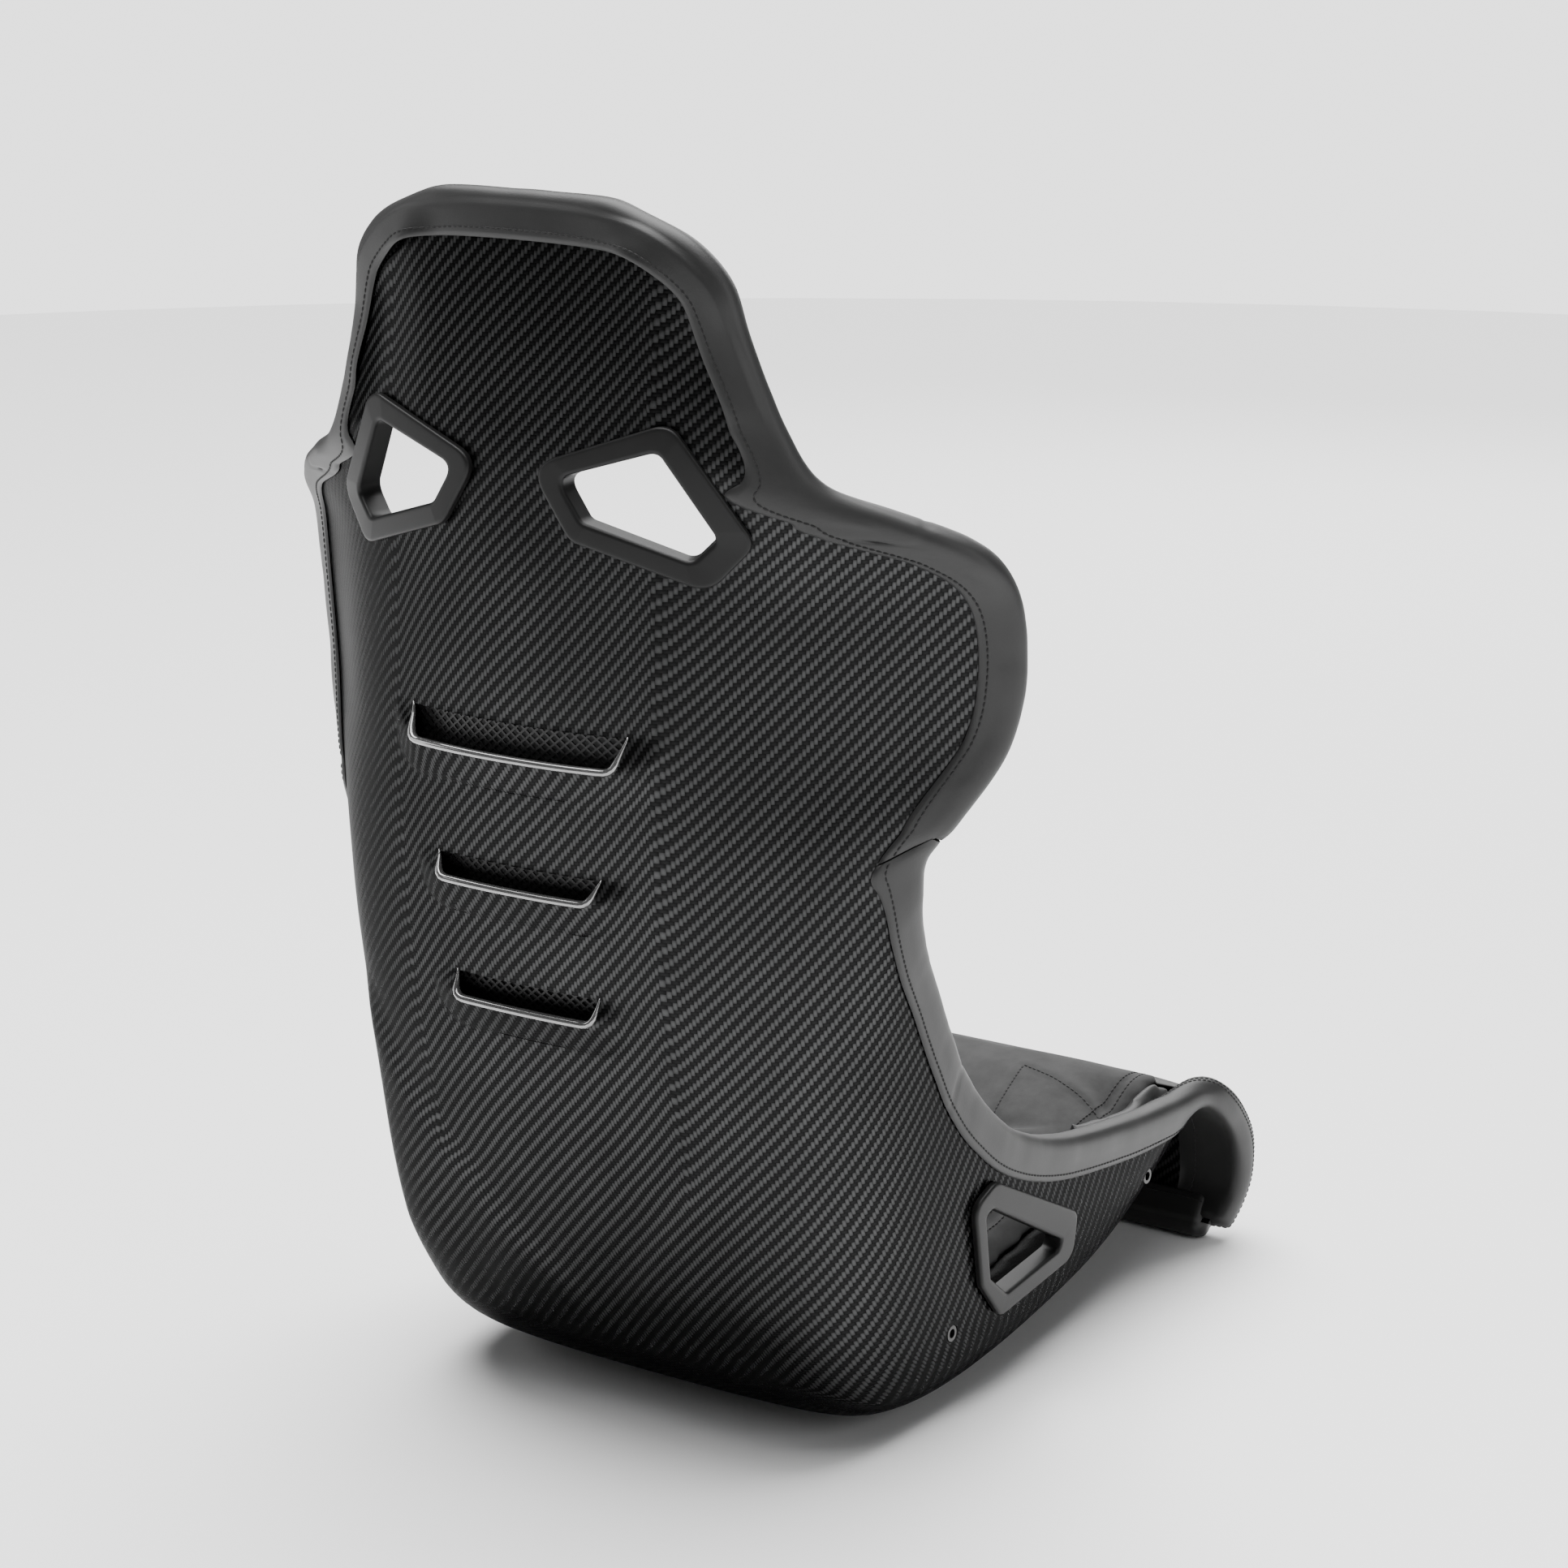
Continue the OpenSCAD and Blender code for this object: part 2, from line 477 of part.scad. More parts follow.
// Fills the gap between the cushion and the flank, forward of the lap slot
module thigh_bolster_left() color(leather) difference() {
    in = wall + clearance;
    through([for (u = steps(2.95, 5.1, 10))
        let(rim = skin(u, 1), w = [for (v = [0.55, 0.62, 0.69, 0.76]) off(u, v, -in)],
            s = (cushion_half + 1) * sx, t = top_z(cushion_half, w[0].y / sy - middle.y),
            e = off(u, 0.76, -in - roll_foam - 3))
        [[s, w[0].y, w[0].z + 3], each w, [min(e.x, w[3].x - roll_foam - 4), w[3].y, w[3].z + 1],
         [min(e.x, w[3].x - roll_foam - 4), rim.y, rim.z + 3], [s + 6, rim.y, max(t, rim.z - 3) + 2],
         [s, rim.y, max(t, rim.z - 3)]]]);
    at_inserts() cylinder(d = boss_diameter + 4, h = insert_length + 4);
}
module thigh_bolster_right() color(leather) mirror([1, 0, 0]) thigh_bolster_left();
module nose_pad() color(leather) pad(0.62, 2.72, -0.64, 0.64, 8, 7, 10);

// The loose cushion and the foam riser under it are columns over the pan
cushion_top = [[-470, thigh_height - 20], [-436, thigh_height], [-400, thigh_height - 4],
    [-340, thigh_height - 18], [-280, thigh_height - 34], [-200, hip_height + 8],
    [-120, hip_height], [40, hip_height]];
function top_z(x, y) =
    let(t = abs(x) / cushion_half, d = (lookup(y, cushion_top) + middle.z) * sz)
    d - 8 * pow(t, 4);

column_u = steps(2.85, 7.9, 14);
module column(us, low, nv = 12) {
    uv = [for (u = us) [for (t = steps(-1, 1, nv)) on_pan(t * cushion_half * sx + 0.01, skin(u, 0).y)]];
    under = [for (r = uv) [for (q = r) off(q[0], q[1], -wall - pad_gap)]];
    // Where the riser ends and the cushion begins
    function split(p) = max(p.z + 6, top_z(p.x / sx, p.y / sy - middle.y) - cushion_foam);
    floor_ = [for (r = under) [for (p = r) low ? p : [p.x, p.y, split(p)]]];
    top = [for (r = under) [for (p = r)
        [p.x, p.y, low ? split(p) - clearance : top_z(p.x / sx, p.y / sy - middle.y)]]];
    between(floor_, top);
}
module crotch_hole(room) {
    r = crotch_width / 2 + room;
    translate([0, 0, -30]) hull() for (s = [-1, 1])
        translate([s * (crotch_length - crotch_width) / 2, crotch_y * sy, 0]) cylinder(r = r, h = 260, $fn = 28);
}
module seat_cushion() color(suede) difference() {
    column(column_u, false);
    crotch_hole(6);
}
module thigh_riser() color(foam_grey) difference() {
    column([for (i = [2 : 13]) column_u[i]], true);
    crotch_hole(20);
}

// Hook-and-loop strips that hold the loose pads
module strip(u0, u1, v0, v1) between(
    [for (u = steps(u0, u1, 3)) [for (v = steps(v0, v1, 3)) off(u, v, -wall - clearance)]],
    [for (u = steps(u0, u1, 3)) [for (v = steps(v0, v1, 3)) off(u, v, -wall - pad_gap + 0.4)]]);
module hook_loop_patches() color(mesh_black) {
    for (s = [-1, 1]) {
        strip(22.6, 23.8, min(s * 0.2, s * 0.5), max(s * 0.2, s * 0.5));
        strip(17.0, 17.8, min(s * 0.08, s * 0.4), max(s * 0.08, s * 0.4));
        strip(11.6, 12.6, min(s * 0.08, s * 0.36), max(s * 0.08, s * 0.36));
        strip(5.6, 7.2, min(s * 0.1, s * 0.3), max(s * 0.1, s * 0.3));
    }
}

carbon_shell();
edge_trim_upper();
edge_trim_lower_left();
edge_trim_lower_right();
edge_trim_nose();
shoulder_bezel_rear_left();
shoulder_bezel_rear_right();
shoulder_bezel_front_left();
shoulder_bezel_front_right();
lap_bezel_outer_left();
lap_bezel_outer_right();
lap_bezel_inner_left();
lap_bezel_inner_right();
crotch_bezel_under();
crotch_bezel_top();
vent_mesh_upper();
vent_mesh_middle();
vent_mesh_lower();
vent_lip_upper();
vent_lip_middle();
vent_lip_lower();
insert_bosses();
threaded_inserts();
head_pad();
back_pad();
lumbar_pad();
wing_bolster_left();
wing_bolster_right();
hip_bolster_left();
hip_bolster_right();
thigh_bolster_left();
thigh_bolster_right();
nose_pad();
seat_cushion();
thigh_riser();
hook_loop_patches();
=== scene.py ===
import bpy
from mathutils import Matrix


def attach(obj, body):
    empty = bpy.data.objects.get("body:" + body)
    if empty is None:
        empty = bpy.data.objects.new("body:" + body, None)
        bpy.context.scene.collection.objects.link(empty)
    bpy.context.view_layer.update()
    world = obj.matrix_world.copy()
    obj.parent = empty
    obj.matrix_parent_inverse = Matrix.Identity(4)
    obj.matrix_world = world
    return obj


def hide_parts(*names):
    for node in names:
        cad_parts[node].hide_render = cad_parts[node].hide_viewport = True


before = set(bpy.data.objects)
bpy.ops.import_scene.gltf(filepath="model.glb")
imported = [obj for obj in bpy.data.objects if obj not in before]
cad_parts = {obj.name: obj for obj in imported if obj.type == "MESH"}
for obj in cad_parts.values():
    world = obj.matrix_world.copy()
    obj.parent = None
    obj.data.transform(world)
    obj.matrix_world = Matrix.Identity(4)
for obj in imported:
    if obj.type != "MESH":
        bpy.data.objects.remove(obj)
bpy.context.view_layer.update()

import math

import bmesh
import bpy
import numpy as np
from mathutils import Matrix, Vector
from mathutils.bvhtree import BVHTree

mm = 0.001

# The seat's surface, in millimetres.
# Stations run up the spine from the nose's lip to the head. Each one is: centre y, centre z,
# rim x, rim y, rim z, flat half width, corner half width, corner share to the rim, sharpness.
loft = {
    "middle": (0, 162, 8),
    "hipRise": 6,
    "stations": [
        (-478, 6, 188, -473, 8, 110, 168, 0.40, 1.00),
        (-494, 45, 197, -490, 42, 125, 184, 0.40, 1.20),
        (-480, 94, 203, -474, 88, 140, 192, 0.40, 1.20),
        (-436, 118, 206, -428, 127, 150, 194, 0.30, 1.20),
        (-378, 64, 207, -372, 132, 170, 198, 0.15, 1.60),
        (-300, 24, 208, -300, 139, 176, 200, 0.10, 2.00),
        (-200, 4, 210, -200, 156, 180, 202, 0.08, 2.40),
        (-100, -6, 212, -130, 182, 182, 203, 0.08, 2.80),
        (-30, -4, 213, -82, 217, 182, 203, 0.08, 3.00),
        (18, 12, 214, -48, 254, 180, 204, 0.08, 3.00),
        (62, 60, 217, -22, 292, 168, 203, 0.09, 2.60),
        (99, 130, 221, 4, 333, 150, 200, 0.10, 2.00),
        (127, 200, 227, 30, 372, 136, 196, 0.14, 1.50),
        (148, 275, 234, 48, 410, 132, 190, 0.20, 1.25),
        (162, 345, 240, 54, 443, 136, 186, 0.30, 1.10),
        (170, 415, 258, 42, 475, 145, 184, 0.38, 1.05),
        (174, 490, 280, 20, 522, 150, 182, 0.42, 1.05),
        (175, 560, 288, 16, 570, 145, 180, 0.42, 1.00),
        (174, 620, 286, 24, 616, 140, 178, 0.42, 1.00),
        (173, 655, 273, 48, 644, 130, 175, 0.42, 1.00),
        (172, 682, 236, 82, 666, 125, 165, 0.42, 1.00),
        (171, 708, 196, 111, 690, 115, 155, 0.40, 1.00),
        (169, 738, 175, 122, 724, 105, 145, 0.40, 1.00),
        (166, 782, 154, 130, 776, 95, 130, 0.40, 1.00),
        (161, 828, 139, 141, 824, 85, 115, 0.40, 1.00),
        (157, 854, 112, 149, 848, 70, 95, 0.40, 1.00),
        (154, 864, 78, 152, 861, 50, 65, 0.40, 1.00),
    ],
}
stations = np.array(loft["stations"], float)
lastU = len(stations) - 1
wall = 3.5


def ease(x):
    t = np.clip(x, 0, 1)
    return t * t * (3 - 2 * t)


def stationAt(u):
    c = np.clip(u, 0, lastU - 0.00001)
    i = np.floor(c).astype(int)
    t = (c - i)[..., None]
    p0, p1 = stations[np.maximum(i - 1, 0)], stations[i]
    p2, p3 = stations[i + 1], stations[np.minimum(i + 2, lastU)]
    return 0.5 * (2 * p1 + (p2 - p0) * t + (2 * p0 - 5 * p1 + 4 * p2 - p3) * t**2
                  + (3 * p1 - p0 - 3 * p2 + p3) * t**3)


def skinAt(u, v):
    u, v = np.broadcast_arrays(np.asarray(u, float), np.asarray(v, float))
    r = stationAt(u)
    t = np.abs(v)
    side = np.where(v < 0, -1.0, 1.0)
    zero = np.zeros_like(t)
    centre = np.stack([zero, r[..., 0], r[..., 1]], -1)
    rim = r[..., 2:5]
    mid = centre + (rim - centre) * r[..., 7:8]
    near = np.stack([r[..., 5], r[..., 0], r[..., 1]], -1)
    far = np.stack([r[..., 6], mid[..., 1], mid[..., 2]], -1)
    sharp = r[..., 8]
    b = [(1 - t)**3, 3 * t * (1 - t)**2 * sharp, 3 * t * t * (1 - t) * sharp, t**3]
    p = sum(k[..., None] * q for k, q in zip(b, (centre, near, far, rim))) / sum(b)[..., None]
    lobe = loft["hipRise"] * ease((p[..., 0] - 100) / 60) * ease((260 - p[..., 2]) / 150)
    lobe = lobe * ease((p[..., 2] + 10) / 60) * ease((u - 8) / 2)
    p[..., 1] += lobe
    p[..., 0] *= side
    return p + np.array(loft["middle"], float)


def normalAt(u, v):
    u, v = np.broadcast_arrays(np.asarray(u, float), np.asarray(v, float))
    e = 0.01
    du = skinAt(np.clip(u + e, 0, lastU), v) - skinAt(np.clip(u - e, 0, lastU), v)
    dv = skinAt(u, v + e) - skinAt(u, v - e)
    n = np.cross(du, dv)
    return n / np.linalg.norm(n, axis=-1, keepdims=True)


# A point at a height over the carbon's outer face, negative towards the occupant
def offAt(u, v, height):
    return skinAt(u, v) + normalAt(u, v) * np.asarray(height, float)[..., None]


# Finds the u and v of points given by two of their coordinates
def findUv(axes, first, second, u, v, steps=14):
    first, second, u, v = (np.array(a, float) for a in np.broadcast_arrays(first, second, u, v))
    e = 0.002
    for _ in range(steps):
        p = skinAt(u, v)
        du, dv = (skinAt(u + e, v) - p) / e, (skinAt(u, v + e) - p) / e
        a, b, c, d = du[..., axes[0]], dv[..., axes[0]], du[..., axes[1]], dv[..., axes[1]]
        r0, r1 = first - p[..., axes[0]], second - p[..., axes[1]]
        det = a * d - b * c
        u = np.clip(u + np.clip((d * r0 - b * r1) / det, -1, 1), 0.02, lastU - 0.02)
        v = np.clip(v + np.clip((a * r1 - c * r0) / det, -0.1, 0.1), -0.98, 0.98)
    return u, v


def onBack(x, z):
    guess = np.interp(np.asarray(z, float) - 8, stations[9:, 1], np.arange(9, lastU + 1))
    return findUv((0, 2), x, z, guess, np.asarray(x, float) / 280)


def onSide(y, z):
    guess = np.interp(np.asarray(y, float) - 162, stations[3:10, 0], np.arange(3, 10))
    return findUv((1, 2), y, z, guess, 0.85)


def onPan(x, y):
    guess = np.interp(np.asarray(y, float) - 162, stations[3:10, 0], np.arange(3, 10))
    return findUv((0, 1), x, y, guess, np.asarray(x, float) / 420)


# A mesh grid whose points are moved on to the given array of points, in millimetres
def gridOf(points, bm=None, wrap=False):
    rows, cols = points.shape[:2]
    bm = bm or bmesh.new()
    made = bmesh.ops.create_grid(bm, x_segments=rows - 1, y_segments=cols - 1, size=1)["verts"]
    for vert in made:
        i = round((vert.co.x + 1) / 2 * (rows - 1))
        j = round((vert.co.y + 1) / 2 * (cols - 1))
        vert.co = Vector(points[i, j]) * mm
    if wrap:
        bmesh.ops.remove_doubles(bm, verts=made, dist=1e-6)
    return bm


def finishMesh(bm, name, smooth=True, recalc=True):
    if recalc:
        bmesh.ops.recalc_face_normals(bm, faces=bm.faces)
    mesh = bpy.data.meshes.new(name)
    bm.to_mesh(mesh)
    bm.free()
    mesh.polygons.foreach_set("use_smooth", [smooth] * len(mesh.polygons))
    piece = bpy.data.objects.new(name, mesh)
    bpy.context.scene.collection.objects.link(piece)
    return piece


def dress(piece, finish, slotName, *nodes):
    piece.data.materials.clear()
    piece.data.materials.append(finish)
    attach(piece, "root")
    if nodes:
        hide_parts(*nodes)
    return piece


def addModifier(piece, kind, **settings):
    mod = piece.modifiers.new(kind.title(), kind)
    for key, value in settings.items():
        setattr(mod, key, value)
    return mod


# Marks the edges that turn by more than an angle, so that they stay crisp
def markSharp(piece, angle):
    bm = bmesh.new()
    bm.from_mesh(piece.data)
    for edge in bm.edges:
        edge.smooth = len(edge.link_faces) == 2 and edge.calc_face_angle(0) < angle
    bm.to_mesh(piece.data)
    bm.free()


# The piece's points, or its normals, as rows
def readPoints(piece, kind="co"):
    rows = np.empty(len(piece.data.vertices) * 3)
    piece.data.vertices.foreach_get(kind, rows)
    return rows.reshape(-1, 3)


def writePoints(piece, co):
    piece.data.vertices.foreach_set("co", np.ascontiguousarray(co).ravel())
    piece.data.update()


# Puts a piece's modifiers into its mesh
def applyAll(piece):
    graph = bpy.context.evaluated_depsgraph_get()
    mesh = bpy.data.meshes.new_from_object(piece.evaluated_get(graph), depsgraph=graph)
    old = piece.data
    piece.modifiers.clear()
    piece.data = mesh
    bpy.data.meshes.remove(old)
    return piece


# Fills the border between two matching open grids
def closeBorder(bm):
    border = [e for e in bm.edges if e.is_boundary]
    bmesh.ops.bridge_loops(bm, edges=border)


# One output of a node, so that sums in Python become Math nodes
class Value:
    def __init__(self, finish, socket):
        self.finish, self.socket = finish, socket

    def maths(self, operation, *others):
        inputs = dict(enumerate(others))
        return self.finish.value("ShaderNodeMath", {"operation": operation}, inputs)

    def __add__(self, other):
        return self.maths("ADD", self, other)

    __radd__ = __add__

    def __sub__(self, other):
        return self.maths("SUBTRACT", self, other)

    def __rsub__(self, other):
        return self.maths("SUBTRACT", other, self)

    def __mul__(self, other):
        return self.maths("MULTIPLY", self, other)

    __rmul__ = __mul__

    def __pow__(self, other):
        return self.maths("POWER", self, other)

    def __lt__(self, other):
        return self.maths("LESS_THAN", self, other)


class Finish:
    def __init__(self, name, surface):
        self.material = bpy.data.materials.new(name)
        self.material.use_nodes = True
        self.tree = self.material.node_tree
        self.tree.nodes.clear()
        self.shader = self.add("ShaderNodeBsdfPrincipled", {}, surface)
        self.add("ShaderNodeOutputMaterial", {}, {"Surface": self.shader.outputs[0]})

    # Any node: its settings are set first, then the values or links of its sockets
    def add(self, kind, settings={}, inputs={}):
        node = self.tree.nodes.new(kind)
        for key, value in settings.items():
            if key == "stops":
                ramp = node.color_ramp.elements
                while len(ramp) < len(value):
                    ramp.new(0.5)
                for stop, (place, shade) in zip(ramp, value):
                    stop.position, stop.color = place, (shade, shade, shade, 1)
            else:
                setattr(node, key, value)
        for key, value in inputs.items():
            if isinstance(value, Value):
                self.tree.links.new(value.socket, node.inputs[key])
            elif isinstance(value, bpy.types.NodeSocket):
                self.tree.links.new(value, node.inputs[key])
            else:
                node.inputs[key].default_value = value
        return node

    def value(self, kind, settings={}, inputs={}, output=0):
        return Value(self, self.add(kind, settings, inputs).outputs[output])

    # Links that change over the surface, by the shader's own socket names
    def feed(self, links):
        for key, value in links.items():
            self.tree.links.new(value.socket, self.shader.inputs[key])

    def place(self, scale=(1, 1, 1), turn=(0, 0, 0)):
        raw = self.value("ShaderNodeTexCoord", {}, {}, "Object")
        return self.value("ShaderNodeMapping", {}, {"Vector": raw, "Scale": scale, "Rotation": turn})

    def noise(self, where, size, detail=3.0, rough=0.5):
        return self.value("ShaderNodeTexNoise", {}, {"Vector": where, "Scale": 1 / (size * mm),
                                                   "Detail": detail, "Roughness": rough})

    def blendColours(self, amount, low, high):
        return self.value("ShaderNodeMix", {"data_type": "RGBA"},
                          {"Factor": amount, "A": low, "B": high}, 2)

    def bump(self, height, depth, strength=1.0):
        return self.value("ShaderNodeBump", {}, {"Height": height, "Distance": depth * mm,
                                                 "Strength": strength})


def grey(level, warm=0.0):
    return (level * (1 + warm), level, level * (1 - warm), 1)


# Clear-coated twill: two tows over, two under, on the shell's own map in millimetres. Its colour holds
# painted highlight and shade: upright tows painted lit, across tows painted dark.
weave = {
    "tow": 2.6, "paintedLitTow": 0.065, "paintedShadedTow": 0.001, "crown": 0.22,
    "patch": 60, "strand": 0.9, "coat": 0.1, "edge": 0.25,
}


# Rounded height over one cell, 0 at its sides and 1 in its middle
def arch(t):
    return 1.0 - (t * 2.0 - 1.0) ** 2.0


def makeCarbon():
    f = Finish("carbonTwill", {
        "Roughness": 0.36, "Metallic": 1.0, "Coat Weight": weave["coat"], "Coat Roughness": 0.2,
        "Specular Tint": grey(weave["edge"]), "Specular IOR Level": 0.2,
    })
    uv = f.value("ShaderNodeTexCoord", {}, {}, "UV")
    axes = f.add("ShaderNodeSeparateXYZ", {}, {0: uv})
    across = Value(f, axes.outputs[0]) * (1 / weave["tow"])
    along = Value(f, axes.outputs[1]) * (1 / weave["tow"])
    acrossCell, alongCell = across.maths("FLOOR", across), along.maths("FLOOR", along)
    acrossPart, alongPart = across - acrossCell, along - alongCell
    step = (acrossCell + alongCell).maths("FLOORED_MODULO", acrossCell + alongCell, 4.0)
    upright = step < 1.5                       # this tow runs up the seat, else across it
    floatUp = (step + alongPart) * 0.5
    floatAcross = (step - 2.0 + acrossPart) * 0.5

    def pick(a, b):
        return upright * a + (1.0 - upright) * b

    roundness = pick(arch(acrossPart), arch(alongPart))
    crown = pick(arch(floatUp), arch(floatAcross))
    height = roundness * 0.5 + crown * 0.5
    where = f.place()
    patch = f.noise(where, weave["patch"], 2.0)            # slow change in how the cloth catches light
    strand = f.noise(where, weave["strand"], 2.0)
    # Painted highlight and shade in the colour: upright tows lit and across tows dark, brightest on each
    # float's crown and darker down each tow's rounded sides. patch makes this painted highlight slowly
    # stronger or weaker over the shell, and strand adds fine streaks.
    paintedTowShading = pick(crown * 0.5 + 0.45, crown * 0.14 + 0.02)
    paintedTowShading = paintedTowShading * (patch * 0.5 + 0.7) * (strand * 0.5 + 0.75) * (roundness * 0.55 + 0.45)
    f.feed({
        "Base Color": f.blendColours(paintedTowShading, grey(weave["paintedShadedTow"]), grey(weave["paintedLitTow"], -0.01)),
        "Roughness": 0.36 + strand * 0.14,
        "Normal": f.bump(height, weave["crown"], 0.75),
    })
    return f.material


# Soft leather: fine pebble with faint creases
hide = {"shade": 0.012, "pebble": 1.1, "fine": 0.5, "crease": 22, "worn": 70, "depth": 0.10}


def makeLeather():
    f = Finish("leatherHide", {"Roughness": 0.45, "Specular IOR Level": 0.4, "Sheen Weight": 0.03})
    where = f.place()
    cells = f.value("ShaderNodeTexVoronoi", {"feature": "SMOOTH_F1"},
                    {"Vector": where, "Scale": 1 / (hide["pebble"] * mm), "Smoothness": 0.6})
    fine = f.noise(where, hide["fine"], 4.0)
    crease = f.noise(where, hide["crease"], 5.0, 0.6)
    worn = f.noise(where, hide["worn"], 2.0)
    low, high = grey(hide["shade"] * 0.85), grey(hide["shade"] * 1.35)
    f.feed({
        "Base Color": f.blendColours(worn * 0.8 + crease * 0.2, low, high),
        "Roughness": 0.36 + worn * 0.14 + fine * 0.08,
        "Normal": f.bump(cells * 0.7 + fine * 0.3 + crease * 1.6, hide["depth"], 0.55),
    })
    return f.material


# Brushed suede: nap lies in soft patches
nap = {"dark": 0.012, "light": 0.045, "patch": 17, "streak": 5.5, "fuzz": 0.45, "depth": 0.16}


def makeSuede():
    f = Finish("suedeNap", {
        "Roughness": 0.92, "Specular IOR Level": 0.2, "Sheen Weight": 0.16, "Sheen Roughness": 0.5,
    })
    where = f.place()
    patch = f.noise(where, nap["patch"], 4.0, 0.62)
    streak = f.noise(f.place((1, 0.45, 1)), nap["streak"], 4.0, 0.6)
    fuzz = f.noise(where, nap["fuzz"], 3.0, 0.7)
    amount = (patch * 1.9 - 0.55) * 0.55 + streak * 0.32 + fuzz * 0.25
    f.feed({
        "Base Color": f.blendColours(amount, grey(nap["dark"]), grey(nap["light"])),
        "Roughness": 0.86 + patch * 0.1,
        "Normal": f.bump(fuzz * 0.8 + streak * 0.4, nap["depth"], 0.5),
    })
    return f.material


# Moulded plastic with a spark-eroded texture
moulding = {"shade": 0.007, "grain": 0.6, "drift": 30, "depth": 0.03}


def makePlastic():
    f = Finish("bezelPlastic", {"Roughness": 0.42, "Specular IOR Level": 0.22})
    where = f.place()
    grain = f.noise(where, moulding["grain"], 3.0)
    drift = f.noise(where, moulding["drift"], 2.0)
    f.feed({
        "Base Color": f.blendColours(drift, grey(moulding["shade"] * 0.8), grey(moulding["shade"] * 1.3)),
        "Roughness": 0.34 + grain * 0.14 + drift * 0.05,
        "Normal": f.bump(grain, moulding["depth"], 0.4),
    })
    return f.material


def makeGlossEdge():
    f = Finish("glossLacquer", {
        "Roughness": 0.12, "Coat Weight": 1.0, "Coat Roughness": 0.03, "Coat IOR": 2.4,
    })
    drift = f.noise(f.place(), 12, 3.0)
    f.feed({
        "Base Color": f.blendColours(drift, grey(0.05), grey(0.09)),
        "Roughness": 0.10 + drift * 0.08,
    })
    return f.material


def makeMeshBlack():
    f = Finish("meshEnamel", {"Roughness": 0.4, "Metallic": 0.3})
    drift = f.noise(f.place(), 4, 3.0)
    f.feed({
        "Base Color": f.blendColours(drift, grey(0.010), grey(0.03)),
        "Roughness": 0.34 + drift * 0.2,
    })
    return f.material


def makeSteel():
    f = Finish("insertSteel", {"Roughness": 0.3, "Metallic": 1.0})
    stain = f.noise(f.place(), 3, 3.0)
    turned = f.noise(f.place((0.1, 1, 1)), 0.4, 2.0)
    f.feed({
        "Base Color": f.blendColours(stain, grey(0.04), grey(0.08, 0.01)),
        "Roughness": 0.24 + turned * 0.16 + stain * 0.08,
        "Normal": f.bump(turned, 0.02, 0.4),
    })
    return f.material


def makeThread():
    f = Finish("sewingThread", {"Roughness": 0.6, "Specular IOR Level": 0.2, "Sheen Weight": 0.04})
    where = f.place()
    twist = f.value("ShaderNodeTexWave", {"bands_direction": "DIAGONAL"},
                    {"Vector": where, "Scale": 900.0, "Distortion": 0.4})
    drift = f.noise(where, 9, 2.0)
    f.feed({
        "Base Color": f.blendColours(drift * 0.6 + twist * 0.4, grey(0.006), grey(0.018)),
        "Roughness": 0.5 + drift * 0.2,
        "Normal": f.bump(twist, 0.05, 0.5),
    })
    return f.material


# A finish of small cells, such as foam pores or tufts
def makeCellular(name, surface, shape):
    f = Finish(name, surface)
    where = f.place()
    cells = f.value("ShaderNodeTexVoronoi", {}, {"Vector": where, "Scale": shape["scale"]})
    drift = f.noise(where, shape["drift"], shape["detail"])
    amount = cells * shape["share"] + drift * (1 - shape["share"])
    f.feed({
        "Base Color": f.blendColours(amount, grey(shape["dark"]), grey(shape["light"])),
        "Roughness": shape["rough"] + drift * shape["roughSpread"],
        "Normal": f.bump(cells, shape["depth"], 0.6),
    })
    return f.material


foamLook = {"scale": 700.0, "drift": 20, "detail": 3.0, "share": 0.7, "dark": 0.012, "light": 0.04,
            "rough": 0.85, "roughSpread": 0.1, "depth": 0.4}
hookLook = {"scale": 900.0, "drift": 8, "detail": 2.0, "share": 0.6, "dark": 0.006, "light": 0.04,
            "rough": 0.8, "roughSpread": 0.15, "depth": 0.3}

carbonFinish = makeCarbon()
leatherFinish = makeLeather()
suedeFinish = makeSuede()
plasticFinish = makePlastic()
glossFinish = makeGlossEdge()
meshFinish = makeMeshBlack()
steelFinish = makeSteel()
threadFinish = makeThread()
foamFinish = makeCellular("openFoam", {"Roughness": 0.95}, foamLook)
hookFinish = makeCellular("hookLoop", {"Roughness": 0.9, "Sheen Weight": 0.3}, hookLook)
print("finishes ready")


# Corners rounded to a radius, with the same number of points at each
def roundedOutline(corners, radius, count=8):
    points = []
    corners = [Vector(c) for c in corners]
    for i, corner in enumerate(corners):
        p, q = corners[i - 1] - corner, corners[(i + 1) % len(corners)] - corner
        half = p.angle(q) / 2
        cut = min(radius / math.tan(half), p.length / 2.2, q.length / 2.2)
        a, b = corner + p.normalized() * cut, corner + q.normalized() * cut
        for k in range(count + 1):
            t = k / count
            points.append(a * (1 - t)**2 + corner * 2 * t * (1 - t) + b * t * t)
    return np.array([tuple(p) for p in points])


# An outline of circles round a convex set of corners
def hullOutline(corners, radius, count=6):
    corners = [Vector(c) for c in corners]
    area = sum(a.x * b.y - a.y * b.x for a, b in zip(corners, corners[1:] + corners[:1]))
    if area < 0:
        corners.reverse()
    points = []
    for i, corner in enumerate(corners):
        before, after = corner - corners[i - 1], corners[(i + 1) % len(corners)] - corner
        start = math.atan2(-before.x, before.y)
        turn = before.angle_signed(after) * -1
        for k in range(count + 1):
            angle = start + turn * k / count
            points.append(corner + Vector((math.cos(angle), math.sin(angle))) * radius)
    return points


